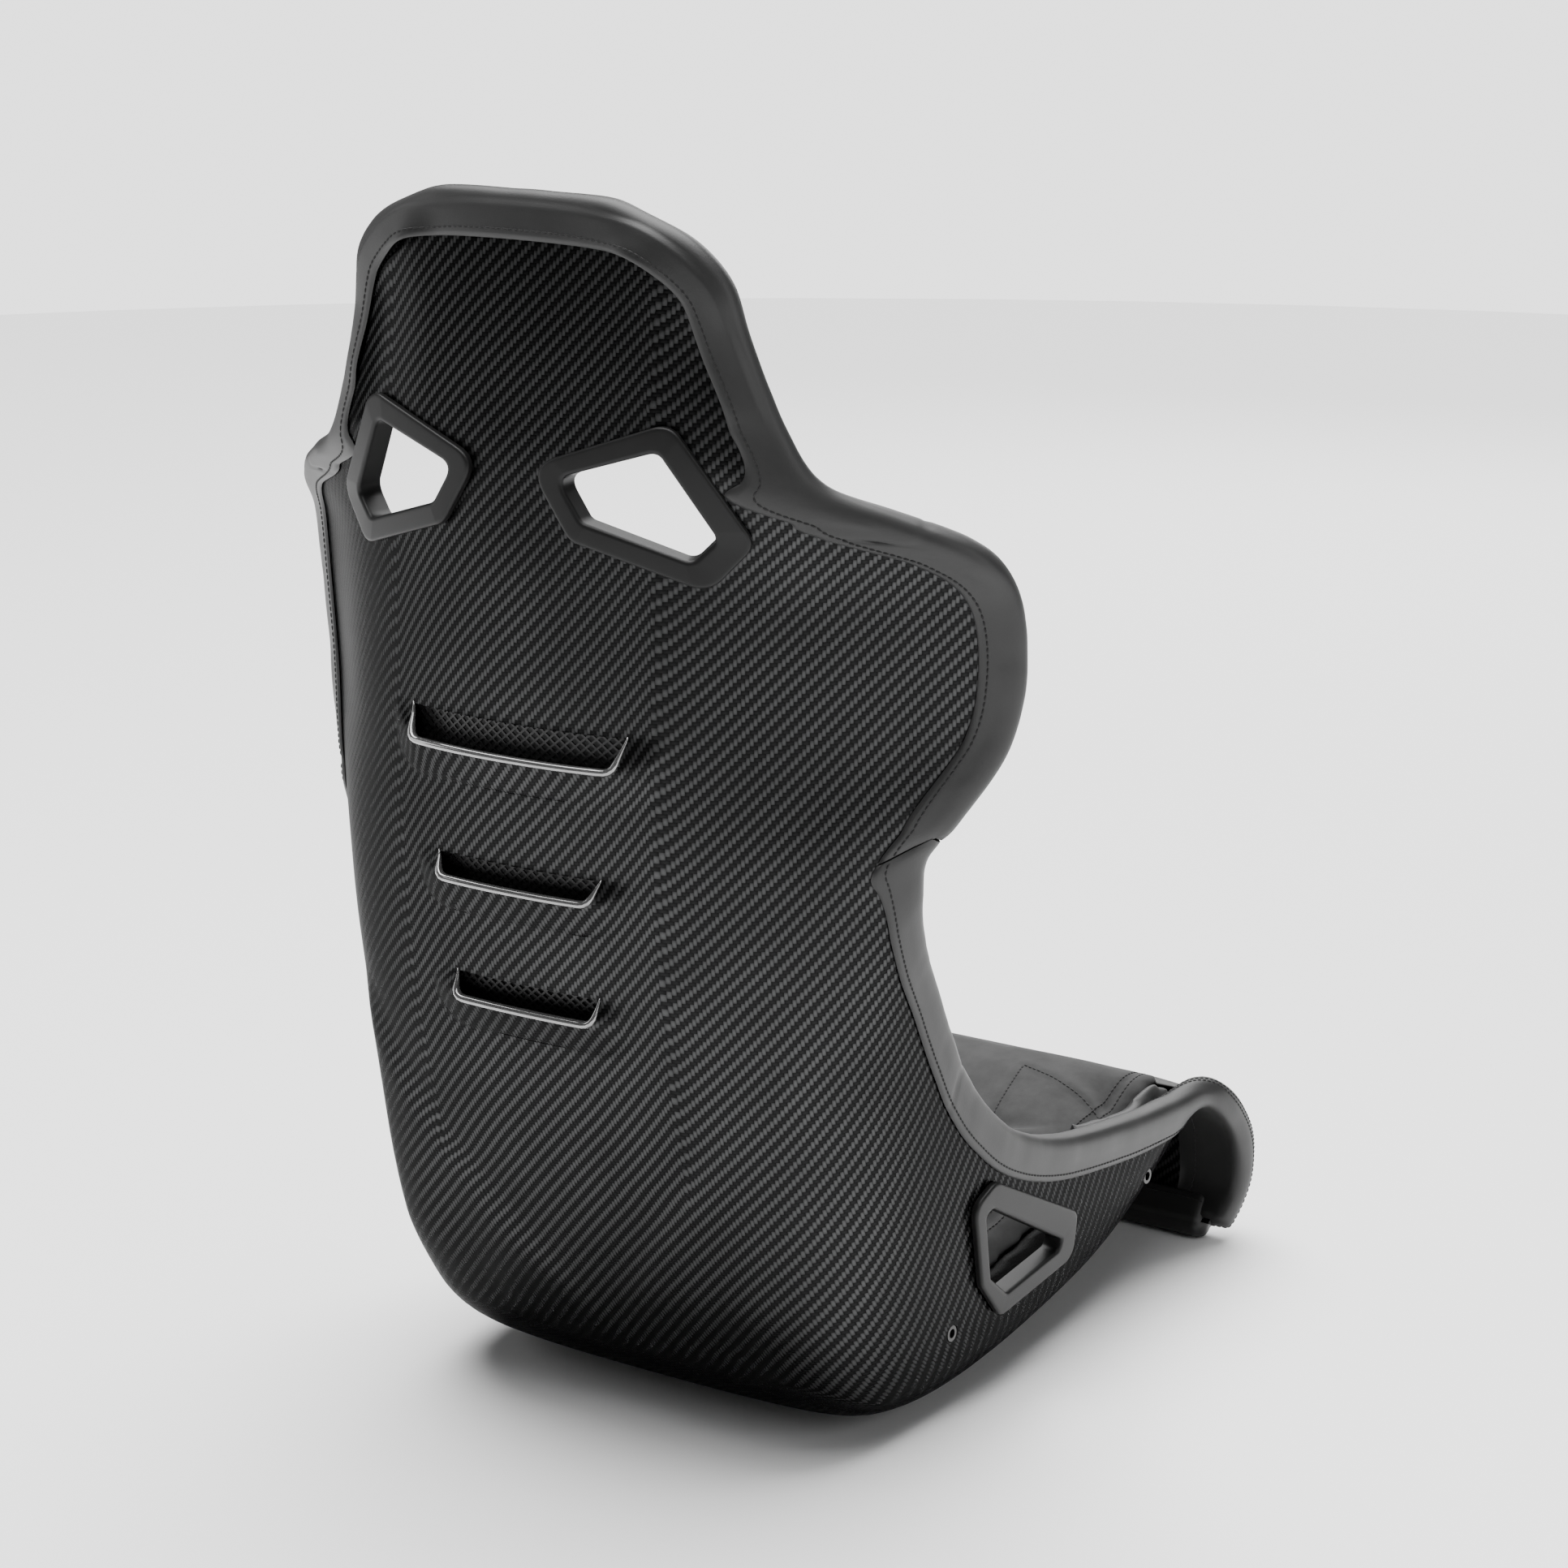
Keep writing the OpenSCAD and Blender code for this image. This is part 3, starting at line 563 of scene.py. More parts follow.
# Spaces values between two ends so that each gap is about the wanted size there
def spaced(lo, hi, length, gap, samples=4000):
    t = np.linspace(lo, hi, samples)
    mid = (t[1:] + t[:-1]) / 2
    cost = np.concatenate([[0], np.cumsum(length(mid) * (t[1] - t[0]) / gap(mid))])
    count = int(math.ceil(cost[-1]))
    return np.interp(np.linspace(0, cost[-1], count + 1), cost, t)


# Fairings that swell out under each vent. Each vent is: top z, lip z, half width at the
# top and at the lip.
vents = {
    "upper": (535, 513, 89, 81),
    "middle": (436, 421, 68, 61),
    "lower": (351, 335, 60, 57),
}
fairing = {"rise": 9.0, "reach": 26.0, "step": 0.17}
slots = {
    "shoulderOuter": [(21, 709), (120, 744), (167, 668), (139, 635), (51, 663)],
    "shoulderInner": [(42, 703), (113, 725), (146, 670), (130, 654), (60, 676)],
    "lapOuter": [(-59, 113), (-60, 76), (43, 64), (76, 99), (93, 164), (66, 176)],
    "lapInner": [(-39, 97), (-35, 89), (38, 81), (64, 101), (77, 153), (68, 156)],
    "shoulderRadii": (16, 9), "lapRadii": (14, 6), "corner": 4, "room": 3.8,
    "crotchY": -140, "crotchLength": 84, "crotchWidth": 30, "crotchRim": 32,
}


def fairingAt(x, z):
    total = np.zeros_like(x)
    for top, lip, wideTop, wideLip in vents.values():
        t = np.clip((z - lip) / (top - lip), 0, 1)
        half = wideLip + (wideTop - wideLip) * t
        away = np.hypot(np.maximum(np.abs(x) - half, 0), np.maximum(lip - z, 0))
        s = 1 - np.clip(away / fairing["reach"], 0, 1)
        swell = (1 - fairing["step"]) * s**1.25 + fairing["step"] * ease(s / 0.1)
        fade = ease((top + 3 - z) / (top - lip + 5))
        total = np.maximum(total, fairing["rise"] * swell * fade)
    return total


# The hip lobes stand a little proud of a V-shaped fold low on the back
lobe = {"high": (168, 318), "low": (55, 165), "rise": 4.5, "soft": 26.0, "outer": 178.0}


def lobeAt(x, z):
    (xa, za), (xb, zb) = lobe["high"], lobe["low"]
    size = math.hypot(xb - xa, zb - za)
    past = ((np.abs(x) - xa) * (za - zb) - (z - za) * (xa - xb)) / size
    inside = ease((lobe["outer"] + 14 - np.abs(x)) / 26) * ease((z - 70) / 60) * ease((330 - z) / 30)
    return lobe["rise"] * ease(past / lobe["soft"]) * inside


# The shell's map: millimetres across and up the cloth, so that the tows run straight
def clothMap(p, n):
    x, y, z = p[:, 0], p[:, 1], p[:, 2]
    side = np.where(x < 0, -1.0, 1.0)
    zs = np.clip(z - 8, stations[9, 1], stations[-1, 1])
    yc = np.interp(zs, stations[9:, 1], stations[9:, 0]) + 162
    flat = 105.0
    across = np.minimum(np.abs(x), flat)
    across = across + np.hypot(np.maximum(np.abs(x) - flat, 0), np.maximum(yc - y, 0))
    backUv = np.stack([side * across, z], -1)
    spine = skinAt(np.linspace(0, 9.5, 220), 0.0)[:, 1:]
    run = np.concatenate([[0], np.cumsum(np.hypot(*np.diff(spine, axis=0).T))])
    away = np.hypot(y[:, None] - spine[None, :, 0], z[:, None] - spine[None, :, 1])
    near = away.argmin(1)
    up = away[np.arange(len(x)), near]
    panUv = np.stack([side * (np.abs(x) + up), 12 + run[near] - run[-1]], -1)
    under = ease((-n[:, 2] - 0.62) / 0.14) * ease((140 - z) / 30)
    under = np.maximum(under, ease((-240 - y) / 12))[:, None]
    return backUv * (1 - under) + panUv * under


def lengthAlongU(u):
    e = 0.01
    return np.linalg.norm(skinAt(u + e, 0.0) - skinAt(u - e, 0.0), axis=-1) / (2 * e)


def lengthAlongV(v):
    e = 0.002
    return np.linalg.norm(skinAt(15.0, v + e) - skinAt(15.0, v - e), axis=-1) / (2 * e)


def finerByVents(u):
    z = skinAt(u, 0.0)[:, 2]
    inside = (z > 285) & (z < 560) & (u > 12)
    return np.where(inside, 2.6, 8.5)


def finerByMiddle(v):
    x = np.abs(skinAt(15.0, v)[:, 0])
    return np.where(x < 128, 3.8, 8.0)


# Cutter in the shape of an outline, pushed through along one axis
def addCutter(bm, outline, axis, lo, hi):
    def place(p, depth):
        spot = [0, 0, 0]
        free = [a for a in range(3) if a != axis]
        spot[axis], spot[free[0]], spot[free[1]] = depth, p[0], p[1]
        return Vector(spot) * mm
    ring = [bm.verts.new(place(p, lo)) for p in outline]
    face = bm.faces.new(ring)
    made = bmesh.ops.extrude_face_region(bm, geom=[face])["geom"]
    push = Vector((0, 0, 0))
    push[axis] = (hi - lo) * mm
    bmesh.ops.translate(bm, verts=[g for g in made if isinstance(g, bmesh.types.BMVert)], vec=push)


# Cuts the cutters' shapes out of a piece
def cutAway(piece, cutters):
    tool = finishMesh(cutters, "cutters")
    addModifier(piece, "BOOLEAN", object=tool, operation="DIFFERENCE", solver="MANIFOLD")
    applyAll(piece)
    bpy.data.objects.remove(tool)
    piece.data.materials.clear()


# Outlines of a belt slot through the seat, and of a round hole
def strapOutline(room):
    r = slots["crotchWidth"] / 2
    reach = slots["crotchLength"] / 2 - r
    y = slots["crotchY"]
    return hullOutline([(-reach, y), (reach, y), (reach, y + 0.01)], r + room, 12)


def holeOutline(y, z, radius):
    return hullOutline([(y - 0.01, z), (y + 0.01, z), (y, z + 0.01)], radius, 10)


inserts = {"places": [(201.8, 100, 69), (199.032, -188, 97)], "barrel": 12.0, "pocket": 16}


def makeShell():
    us = spaced(0, lastU, lengthAlongU, finerByVents)
    vs = spaced(-1, 1, lengthAlongV, finerByMiddle)
    u, v = np.meshgrid(us, vs, indexing="ij")
    p, n = skinAt(u, v), normalAt(u, v)
    swell = fairingAt(p[..., 0], p[..., 2]) * (u > 12) + lobeAt(p[..., 0], p[..., 2]) * ease((u - 9.2) / 0.8)
    outer = p + n * swell[..., None]
    inner = outer - n * wall
    bm = gridOf(outer)
    gridOf(inner, bm)
    closeBorder(bm)
    shell = finishMesh(bm, "carbonShell")
    cutters = bmesh.new()
    shoulder = hullOutline(slots["shoulderInner"], slots["corner"] + slots["room"])
    lap = hullOutline(slots["lapInner"], slots["corner"] + slots["room"])
    for flip in (1, -1):
        addCutter(cutters, [(flip * c[0], c[1]) for c in shoulder], 1, 230, 400)
        addCutter(cutters, lap, 0, flip * 170, flip * 250)
        for x, y, z in inserts["places"]:
            addCutter(cutters, holeOutline(y, z, inserts["barrel"] / 2 + 0.5), 0, flip * 150, flip * 240)
    for top, lip, wideTop, wideLip in vents.values():
        corners = [(wideTop - 3, top - 3), (3 - wideTop, top - 3),
                   (3 - wideLip, lip + 3), (wideLip - 3, lip + 3)]
        addCutter(cutters, hullOutline(corners, 3), 1, 260, 400)
    addCutter(cutters, strapOutline(slots["room"]), 2, -20, 60)
    cutAway(shell, cutters)
    markSharp(shell, 0.55)
    mesh = shell.data
    co, no = readPoints(shell) / mm, readPoints(shell, "normal")
    onInside = (no * (co - np.array([0, 40, 420]))).sum(-1) < 0
    uv = clothMap(co, np.where(onInside[:, None], -no, no))
    corner = np.empty(len(mesh.loops), int)
    mesh.loops.foreach_get("vertex_index", corner)
    layer = mesh.uv_layers.new(name="cloth")
    layer.data.foreach_set("uv", uv[corner].ravel().astype(np.float32))
    mesh.polygons.foreach_set("use_smooth", [True] * len(mesh.polygons))
    lips = ["vent_lip_" + name for name in vents]
    return dress(shell, carbonFinish, "carbon", "carbon_shell", *lips)


# A tube swept through points, with a radius at each, closed at its ends
def sweptBar(bm, points, normals, radii, flat=1.0, sides=12):
    points = np.asarray(points, float)
    along = np.gradient(points, axis=0)
    along /= np.linalg.norm(along, axis=1, keepdims=True)
    across = np.cross(along, normals)
    across /= np.linalg.norm(across, axis=1, keepdims=True)
    up = np.cross(across, along)
    angle = np.linspace(0, 2 * math.pi, sides + 1)
    r = np.asarray(radii, float)[:, None, None]
    grid = points[:, None] + across[:, None] * np.cos(angle)[None, :, None] * r * flat
    grid = grid + up[:, None] * np.sin(angle)[None, :, None] * r
    before = set(bm.verts)
    gridOf(grid, bm)
    fresh = [vert for vert in bm.verts if vert not in before]
    bmesh.ops.remove_doubles(bm, verts=fresh, dist=1e-6)
    rim = [e for e in bm.edges if e.is_boundary]
    bmesh.ops.holes_fill(bm, edges=rim, sides=sides + 2)


# The rounded rim that frames each vent's lower and side edges
rim = {"bottom": 3.3, "top": 0.9, "gap": 3.0}


def makeVentRims():
    bm = bmesh.new()
    for top, lip, wideTop, wideLip in vents.values():
        corners = [(-wideTop, top + 1), (-wideLip, lip), (wideLip, lip), (wideTop, top + 1)]
        bends = roundedOutline(corners, 9, 10)
        line = [corners[0]] + [tuple(q) for q in bends[11:33]] + [corners[3]]
        line = np.array(line)
        steps = np.concatenate([[0], np.cumsum(np.hypot(*np.diff(line, axis=0).T))])
        at = np.linspace(0, steps[-1], int(steps[-1] / rim["gap"]))
        x, z = np.interp(at, steps, line[:, 0]), np.interp(at, steps, line[:, 1])
        u, v = onBack(x, z)
        height = fairingAt(x, z)
        n = normalAt(u, v)
        lowness = ease((top - z) / (top - lip))
        points = skinAt(u, v) + n * (height - 0.4)[:, None]
        sweptBar(bm, points, n, rim["top"] + (rim["bottom"] - rim["top"]) * lowness, 0.8)
    piece = finishMesh(bm, "ventRims")
    return dress(piece, glossFinish, "carbon")


# Profile across a moulded ring: share of the way to its outer edge, and height
bezelShape = {"flange": 5.0, "sleeve": 3.0, "chamfer": 1.3, "base": 1.3, "lapOver": 12, "sharp": 0.7}


# A ring whose section runs between two outlines on the seat. Each row of the section is the
# share of the way out, and the height over the carbon.
def makeRing(name, node, outer, inner, find, section, flip):
    ui, vi = find(inner[:, 0], inner[:, 1])
    uo, vo = find(outer[:, 0], outer[:, 1])
    a, b, na, nb = skinAt(ui, vi), skinAt(uo, vo), normalAt(ui, vi), normalAt(uo, vo)
    width = np.linalg.norm(b - a, axis=1)
    rows = []
    for share, height in section(width):
        share = share[:, None]
        rows.append((a + na * height) * (1 - share) + (b + nb * height) * share)
    grid = np.array(rows)
    grid = np.concatenate([grid, grid[:, :1]], 1)
    grid[..., 0] *= flip
    piece = finishMesh(gridOf(grid, wrap=True), name)
    markSharp(piece, bezelShape["sharp"])
    return dress(piece, plasticFinish, "moulded_plastic", node)


def makeBezel(name, node, outer, inner, find, reach, flip=1):
    f, c, sleeve = bezelShape["flange"], bezelShape["chamfer"], bezelShape["sleeve"]
    profile = (
        ("out", 0, 0), ("out", 0, f * 0.45), ("out", 0, f - c * 1.3), ("out", c * 0.35, f - c * 0.55),
        ("out", c * 1.2, f - 0.12), ("out", c * 2.0, f), ("out", c * 3.2, f),
        ("in", c * 2.6, f), ("in", c * 1.5, f - 0.1), ("in", c * 0.6, f - c * 0.5),
        ("in", 0, f - c * 1.3), ("in", 0, f * 0.3), ("in", 0, -reach),
        ("in", 1.0, -reach - 0.6), ("in", sleeve, -reach), ("in", sleeve, 0), ("out", 0, 0),
    )

    def section(width):
        for kind, inset, h in profile:
            yield (inset / width if kind == "in" else 1 - inset / width), bezelShape["base"] + h

    return makeRing(name, node, outer, inner, find, section, flip)


def makeInnerRing(name, node, outer, inner, find, flip=1):
    f, base = bezelShape["flange"], -wall - bezelShape["base"]
    profile = (
        (0, 0), (1, 0), (1, -2.2), (0.94, -3.0), (0.62, 0.5 - f), (0.5, -f), (0.1, -f),
        (0, 0.6 - f), (0, 0),
    )

    def section(width):
        lo = (bezelShape["sleeve"] + 0.8) / width
        hi = np.minimum(0.8, lo + bezelShape["lapOver"] / width)
        for part, h in profile:
            yield lo + (hi - lo) * part, base + h

    return makeRing(name, node, outer, inner, find, section, flip)


def stadium(length, width, y, count=14):
    points = []
    for s, start in ((1, 90), (-1, 270)):
        for k in range(count + 1):
            a = math.radians(start - 180 * k / count)
            points.append((s * (length - width) / 2 + width / 2 * math.cos(a), y + width / 2 * math.sin(a)))
    return np.array(points)


# Diamond mesh behind each vent
grille = {"pitch": 8.0, "rise": 6.5, "bar": 1.5, "thick": 1.1, "margin": 6.0}


def makeVentMesh(name, vent):
    top, lip, wideTop, wideLip = vent
    reach = wideTop + grille["margin"] + 20
    cells = int(2 * reach / (grille["pitch"] / math.sqrt(2)))
    bm = bmesh.new()
    side = cells * grille["pitch"] / math.sqrt(2)
    bmesh.ops.create_grid(bm, x_segments=cells, y_segments=cells, size=side / 2)
    bmesh.ops.rotate(bm, verts=bm.verts, matrix=Matrix.Rotation(math.pi / 4, 3, "Z"))
    bmesh.ops.scale(bm, verts=bm.verts, vec=(1, grille["rise"] / grille["pitch"], 1))
    half = wideTop + grille["margin"]
    tall = (top - lip) / 2 + grille["margin"]
    for face in ((1, 0, 0), (-1, 0, 0), (0, 1, 0), (0, -1, 0)):
        parts = bm.verts[:] + bm.edges[:] + bm.faces[:]
        spot = (face[0] * half, face[1] * tall, 0)
        bmesh.ops.bisect_plane(bm, geom=parts, plane_co=spot, plane_no=face, clear_outer=True)
    cells = bm.faces[:]
    bmesh.ops.inset_individual(bm, faces=cells, thickness=grille["bar"] / 2, use_even_offset=True)
    bmesh.ops.delete(bm, geom=cells, context="FACES")
    bmesh.ops.recalc_face_normals(bm, faces=bm.faces)
    bmesh.ops.solidify(bm, geom=bm.faces[:], thickness=grille["thick"])
    co = np.array([vert.co[:] for vert in bm.verts])
    z = (top + lip) / 2 + co[:, 1]
    u, v = onBack(co[:, 0], z)
    p, n = skinAt(u, v), normalAt(u, v)
    depth = -wall - 2.0 - (co[:, 2].max() - co[:, 2])
    for vert, spot in zip(bm.verts, p + n * depth[:, None]):
        vert.co = Vector(spot) * mm
    piece = finishMesh(bm, "ventMesh" + name, smooth=False)
    return dress(piece, meshFinish, "vent_mesh", "vent_mesh_" + name.lower())


makeShell()
print("shell ready")
makeVentRims()
for ventName, vent in vents.items():
    makeVentMesh(ventName.capitalize(), vent)
print("vents ready")


def slotOutlines(name, find):
    outer, inner = (slots[name + part] for part in ("Outer", "Inner"))
    outerRadius, innerRadius = slots[name + "Radii"]
    return roundedOutline(outer, outerRadius), roundedOutline(inner, innerRadius), find


shoulder, lap = slotOutlines("shoulder", onBack), slotOutlines("lap", onSide)
for sideName, flip in (("left", 1), ("right", -1)):
    tail = sideName.capitalize()
    makeBezel("shoulderBezelRear" + tail, "shoulder_bezel_rear_" + sideName, *shoulder, wall + 8, flip)
    makeInnerRing("shoulderBezelFront" + tail, "shoulder_bezel_front_" + sideName, *shoulder, flip)
    makeBezel("lapBezelOuter" + tail, "lap_bezel_outer_" + sideName, *lap, wall + 6, flip)
    makeInnerRing("lapBezelInner" + tail, "lap_bezel_inner_" + sideName, *lap, flip)
crotchSize = slots["crotchLength"], slots["crotchWidth"]
crotch = [
    stadium(crotchSize[0] + more, crotchSize[1] + more, slots["crotchY"])
    for more in (slots["crotchRim"], 0)
]
makeBezel("crotchBezelUnder", "crotch_bezel_under", *crotch, onPan, wall + 8)
makeInnerRing("crotchBezelTop", "crotch_bezel_top", *crotch, onPan)
print("bezels ready")


# Leather roll round the carbon's edge, drawn as a section: distance in from the edge and
# height over the carbon's outer face
roll = {
    "out": 12.0, "lap": 22.0, "inner": 26.0, "foam": 15.0, "clear": 0.8, "gap": 4.0, "crease": 0.1,
    "waist": 14.6, "top": 25.9, "nose": 0.08, "apart": 0.02, "topEnd": 0.9, "noseEnd": 0.93,
    "gapAlong": 4.0, "gapTop": 3.0, "shoulderSeam": 19.6, "hipSeam": 9.3, "floor": 0.3,
}


def rollSection(inner, count=44):
    g, f, out = roll["clear"], -wall - roll["foam"], roll["out"]
    lap = roll["lap"]
    corners = [
        (lap, g), (lap - 0.2, g + 1.3), (lap - 1.6, g + 1.6), (lap * 0.4, 3.4), (0.0, 4.0),
        (-out * 0.45, 3.4), (-out * 0.85, 0.2), (-out, -6), (-out * 0.94, f + 6), (-out * 0.62, f + 1.2),
        (-out * 0.1, f - 1.4), (inner * 0.35, f - 2.2), (inner * 0.7, f - 0.6), (inner * 0.92, f + 4),
        (inner, f * 0.5), (inner - 0.4, -wall - g),
    ]
    corners = np.array(corners)
    t = np.concatenate([[0], np.cumsum(np.hypot(*np.diff(corners, axis=0).T))])
    at = np.linspace(0, t[-1], count)
    smooth = np.stack([catmull(at, t, corners[:, k]) for k in (0, 1)], -1)
    back = np.array([(inner * 0.5, -wall - g), (-g, -wall - g), (-g, g)])
    return np.concatenate([smooth, back, smooth[:1]])


def catmull(at, t, values):
    slope = np.gradient(values, t)
    i = np.clip(np.searchsorted(t, at, side="right") - 1, 0, len(t) - 2)
    h = t[i + 1] - t[i]
    s = (at - t[i]) / h
    return ((2 * s**3 - 3 * s**2 + 1) * values[i] + (s**3 - 2 * s**2 + s) * h * slope[i]
            + (3 * s**2 - 2 * s**3) * values[i + 1] + (s**3 - s**2) * h * slope[i + 1])


# The section placed at points of the edge. "go" is the way along the edge in u and v.
def rollRings(u, v, go, inward, straight):
    u, v = np.broadcast_arrays(np.asarray(u, float), np.asarray(v, float))
    e = 0.01
    p, n = skinAt(u, v), normalAt(u, v)
    ahead = skinAt(np.clip(u + go[0] * e, 0, lastU), np.clip(v + go[1] * e, -1, 1))
    behind = skinAt(np.clip(u - go[0] * e, 0, lastU), np.clip(v - go[1] * e, -1, 1))
    t = ahead - behind
    t /= np.linalg.norm(t, axis=-1, keepdims=True)
    b = np.cross(n, t)
    toSpine = skinAt(np.clip(u, 1.5, lastU - 2), 0 * u) - p
    b *= np.where((b * toSpine).sum(-1) < 0, -1.0, 1.0)[:, None]
    step = skinAt(u + inward[0] * e, v + inward[1] * e) - p
    per = e / np.maximum(0.001, (step * b).sum(-1))
    flap = np.where(u > 20, roll["inner"], roll["inner"] * (0.45 + 0.55 * ease((u - 3.2) / 1.6)))
    corner = ease((u - 23.6) / 1.4) * ease((np.abs(v) - 0.45) / 0.3)    # short at the head's corners
    flap = flap * (1 - 0.5 * corner)
    rings = []
    for k in range(len(u)):
        ring = rollSection(flap[k])
        s, h = ring[:, 0], ring[:, 1]
        flat = p[k] + b[k] * s[:, None]
        bent = np.where(s > 0, np.where(h > 0, 1.4, -1.4) - s * s / 300, 0)
        flat = flat + n[k] * (h + bent)[:, None]
        reach = np.maximum(s, 0) * per[k]
        curved = offAt(u[k] + inward[0] * reach, v[k] + inward[1] * reach, h)
        amount = np.where(s > 0, 1 - straight[k], 0)[:, None]
        rings.append(flat * (1 - amount) + curved * amount)
    return np.array(rings)


def edgeLength(go):
    def measure(t):
        e = 0.01
        if go == "side":
            return np.linalg.norm(skinAt(t + e, 1.0) - skinAt(t - e, 1.0), axis=-1) / (2 * e)
        end = 0.0 if go == "lip" else float(lastU)
        return np.linalg.norm(skinAt(end, t + e) - skinAt(end, t - e), axis=-1) / (2 * e)
    return measure


def evenGap(size):
    return lambda t: np.full_like(t, size)


def sideRings(u, side):
    return rollRings(u, np.full_like(u, side), (1, 0), (0, -side), ease((u - 22) / 0.7))


# Loose waves and fine creases in the hide, along the roll
def creased(rings, seed):
    rings = rings.copy()
    count, around = rings.shape[:2]
    length = np.concatenate([[0], np.cumsum(np.linalg.norm(np.diff(rings[:, 8], axis=0), axis=1))])
    rng = np.random.default_rng(seed)
    wave = np.zeros((count, around))
    theta = np.linspace(0, 2 * math.pi, around)
    for _ in range(26):
        size = rng.uniform(9, 60)
        tilt = rng.uniform(-1.5, 1.5)
        shift = rng.uniform(0, 6)
        wave += np.sin(length[:, None] / size * 2 * math.pi + tilt * theta[None] + shift) * size / 60
    wave *= roll["crease"] / 2.2
    mask = ease((np.arange(around) - 2) / 5) * ease((around - 9 - np.arange(around)) / 8)
    centre = rings[:, 4:34].mean(1, keepdims=True)
    away = rings - centre
    away /= np.linalg.norm(away, axis=-1, keepdims=True)
    return rings + away * (wave * mask)[..., None]


# Draws the leather in along a seam that crosses the roll
def seamed(rings, at, depth=1.6, width=5.0):
    rings = rings.copy()
    length = np.concatenate([[0], np.cumsum(np.linalg.norm(np.diff(rings[:, 8], axis=0), axis=1))])
    pull = depth * np.exp(-((length - length[at]) / width)**2)
    centre = rings.mean(1, keepdims=True)
    away = rings - centre
    away /= np.linalg.norm(away, axis=-1, keepdims=True)
    return rings - away * pull[:, None, None]


# Evens out the roll where its side runs into its top
def rounded(rings, joins, spread=4.0, reach=22):
    index = np.arange(len(rings))
    far = 12
    padded = np.concatenate([rings[:1]] * far + [rings] + [rings[-1:]] * far)
    weights = np.exp(-(np.arange(-far, far + 1) / spread)**2)
    soft = sum(w * padded[k:k + len(rings)] for k, w in enumerate(weights)) / weights.sum()
    amount = np.max([ease((reach - np.abs(index - at)) / 8) for at in joins], axis=0)[:, None, None]
    return rings * (1 - amount) + soft * amount


# Rounds off the ends of a roll
def roundedEnds(rings, first=True, final=True, length=7.0):
    rings = rings.copy()
    run = np.concatenate([[0], np.cumsum(np.linalg.norm(np.diff(rings[:, 8], axis=0), axis=1))])
    size = np.ones(len(rings))
    if first:
        size *= np.sqrt(np.clip(1 - (1 - np.clip(run / length, 0, 1))**2, 0.02, 1))
    if final:
        size *= np.sqrt(np.clip(1 - (1 - np.clip((run[-1] - run) / length, 0, 1))**2, 0.02, 1))
    centre = rings[:, :-1].mean(1, keepdims=True)
    return centre + (rings - centre) * size[:, None, None]


def capEnds(bm):
    ends = [e for e in bm.edges if e.is_boundary]
    bmesh.ops.holes_fill(bm, edges=ends, sides=0)


# Columns are places round the roll's section: the outer hem, then the inner double seam
stitchLines = {
    "pitch": 4.6, "radius": 0.75, "sink": 0.4, "shape": (0.12, 0.8, 1.0, 1.0, 0.8),
    "columns": ((3, 0.1), (24, 0.5), (26, 0.5)),
}


# Stitches along one line of the rings, as one thread that dips between them
def addStitches(bm, rings, column, offset=0.0):
    line = rings[:, column] * (1 - offset) + rings[:, column + 1] * offset
    centre = rings.mean(1)
    up = line - centre
    if np.abs(up).max() < 1e-6:
        up = up + np.array([0, 0, 1.0])
    length = np.concatenate([[0], np.cumsum(np.linalg.norm(np.diff(line, axis=0), axis=1))])
    parts = len(stitchLines["shape"])
    count = int(length[-1] / stitchLines["pitch"])
    at = np.arange(count * parts + 1) * stitchLines["pitch"] / parts
    spots = np.stack([np.interp(at, length, line[:, c]) for c in range(3)], -1)
    out = np.stack([np.interp(at, length, up[:, c]) for c in range(3)], -1)
    out /= np.linalg.norm(out, axis=1, keepdims=True)
    shape = np.array([stitchLines["shape"][k % parts] for k in range(len(at))])
    spots = spots - out * ((1 - shape) * stitchLines["sink"])[:, None]
    sweptBar(bm, spots, out, shape * stitchLines["radius"], sides=6)


def makeRoll(name, node, rings):
    bm = gridOf(np.array(rings))
    bmesh.ops.remove_doubles(bm, verts=bm.verts, dist=1e-6)
    capEnds(bm)
    piece = finishMesh(bm, name)
    markSharp(piece, 1.0)
    return dress(piece, leatherFinish, "leather", node)


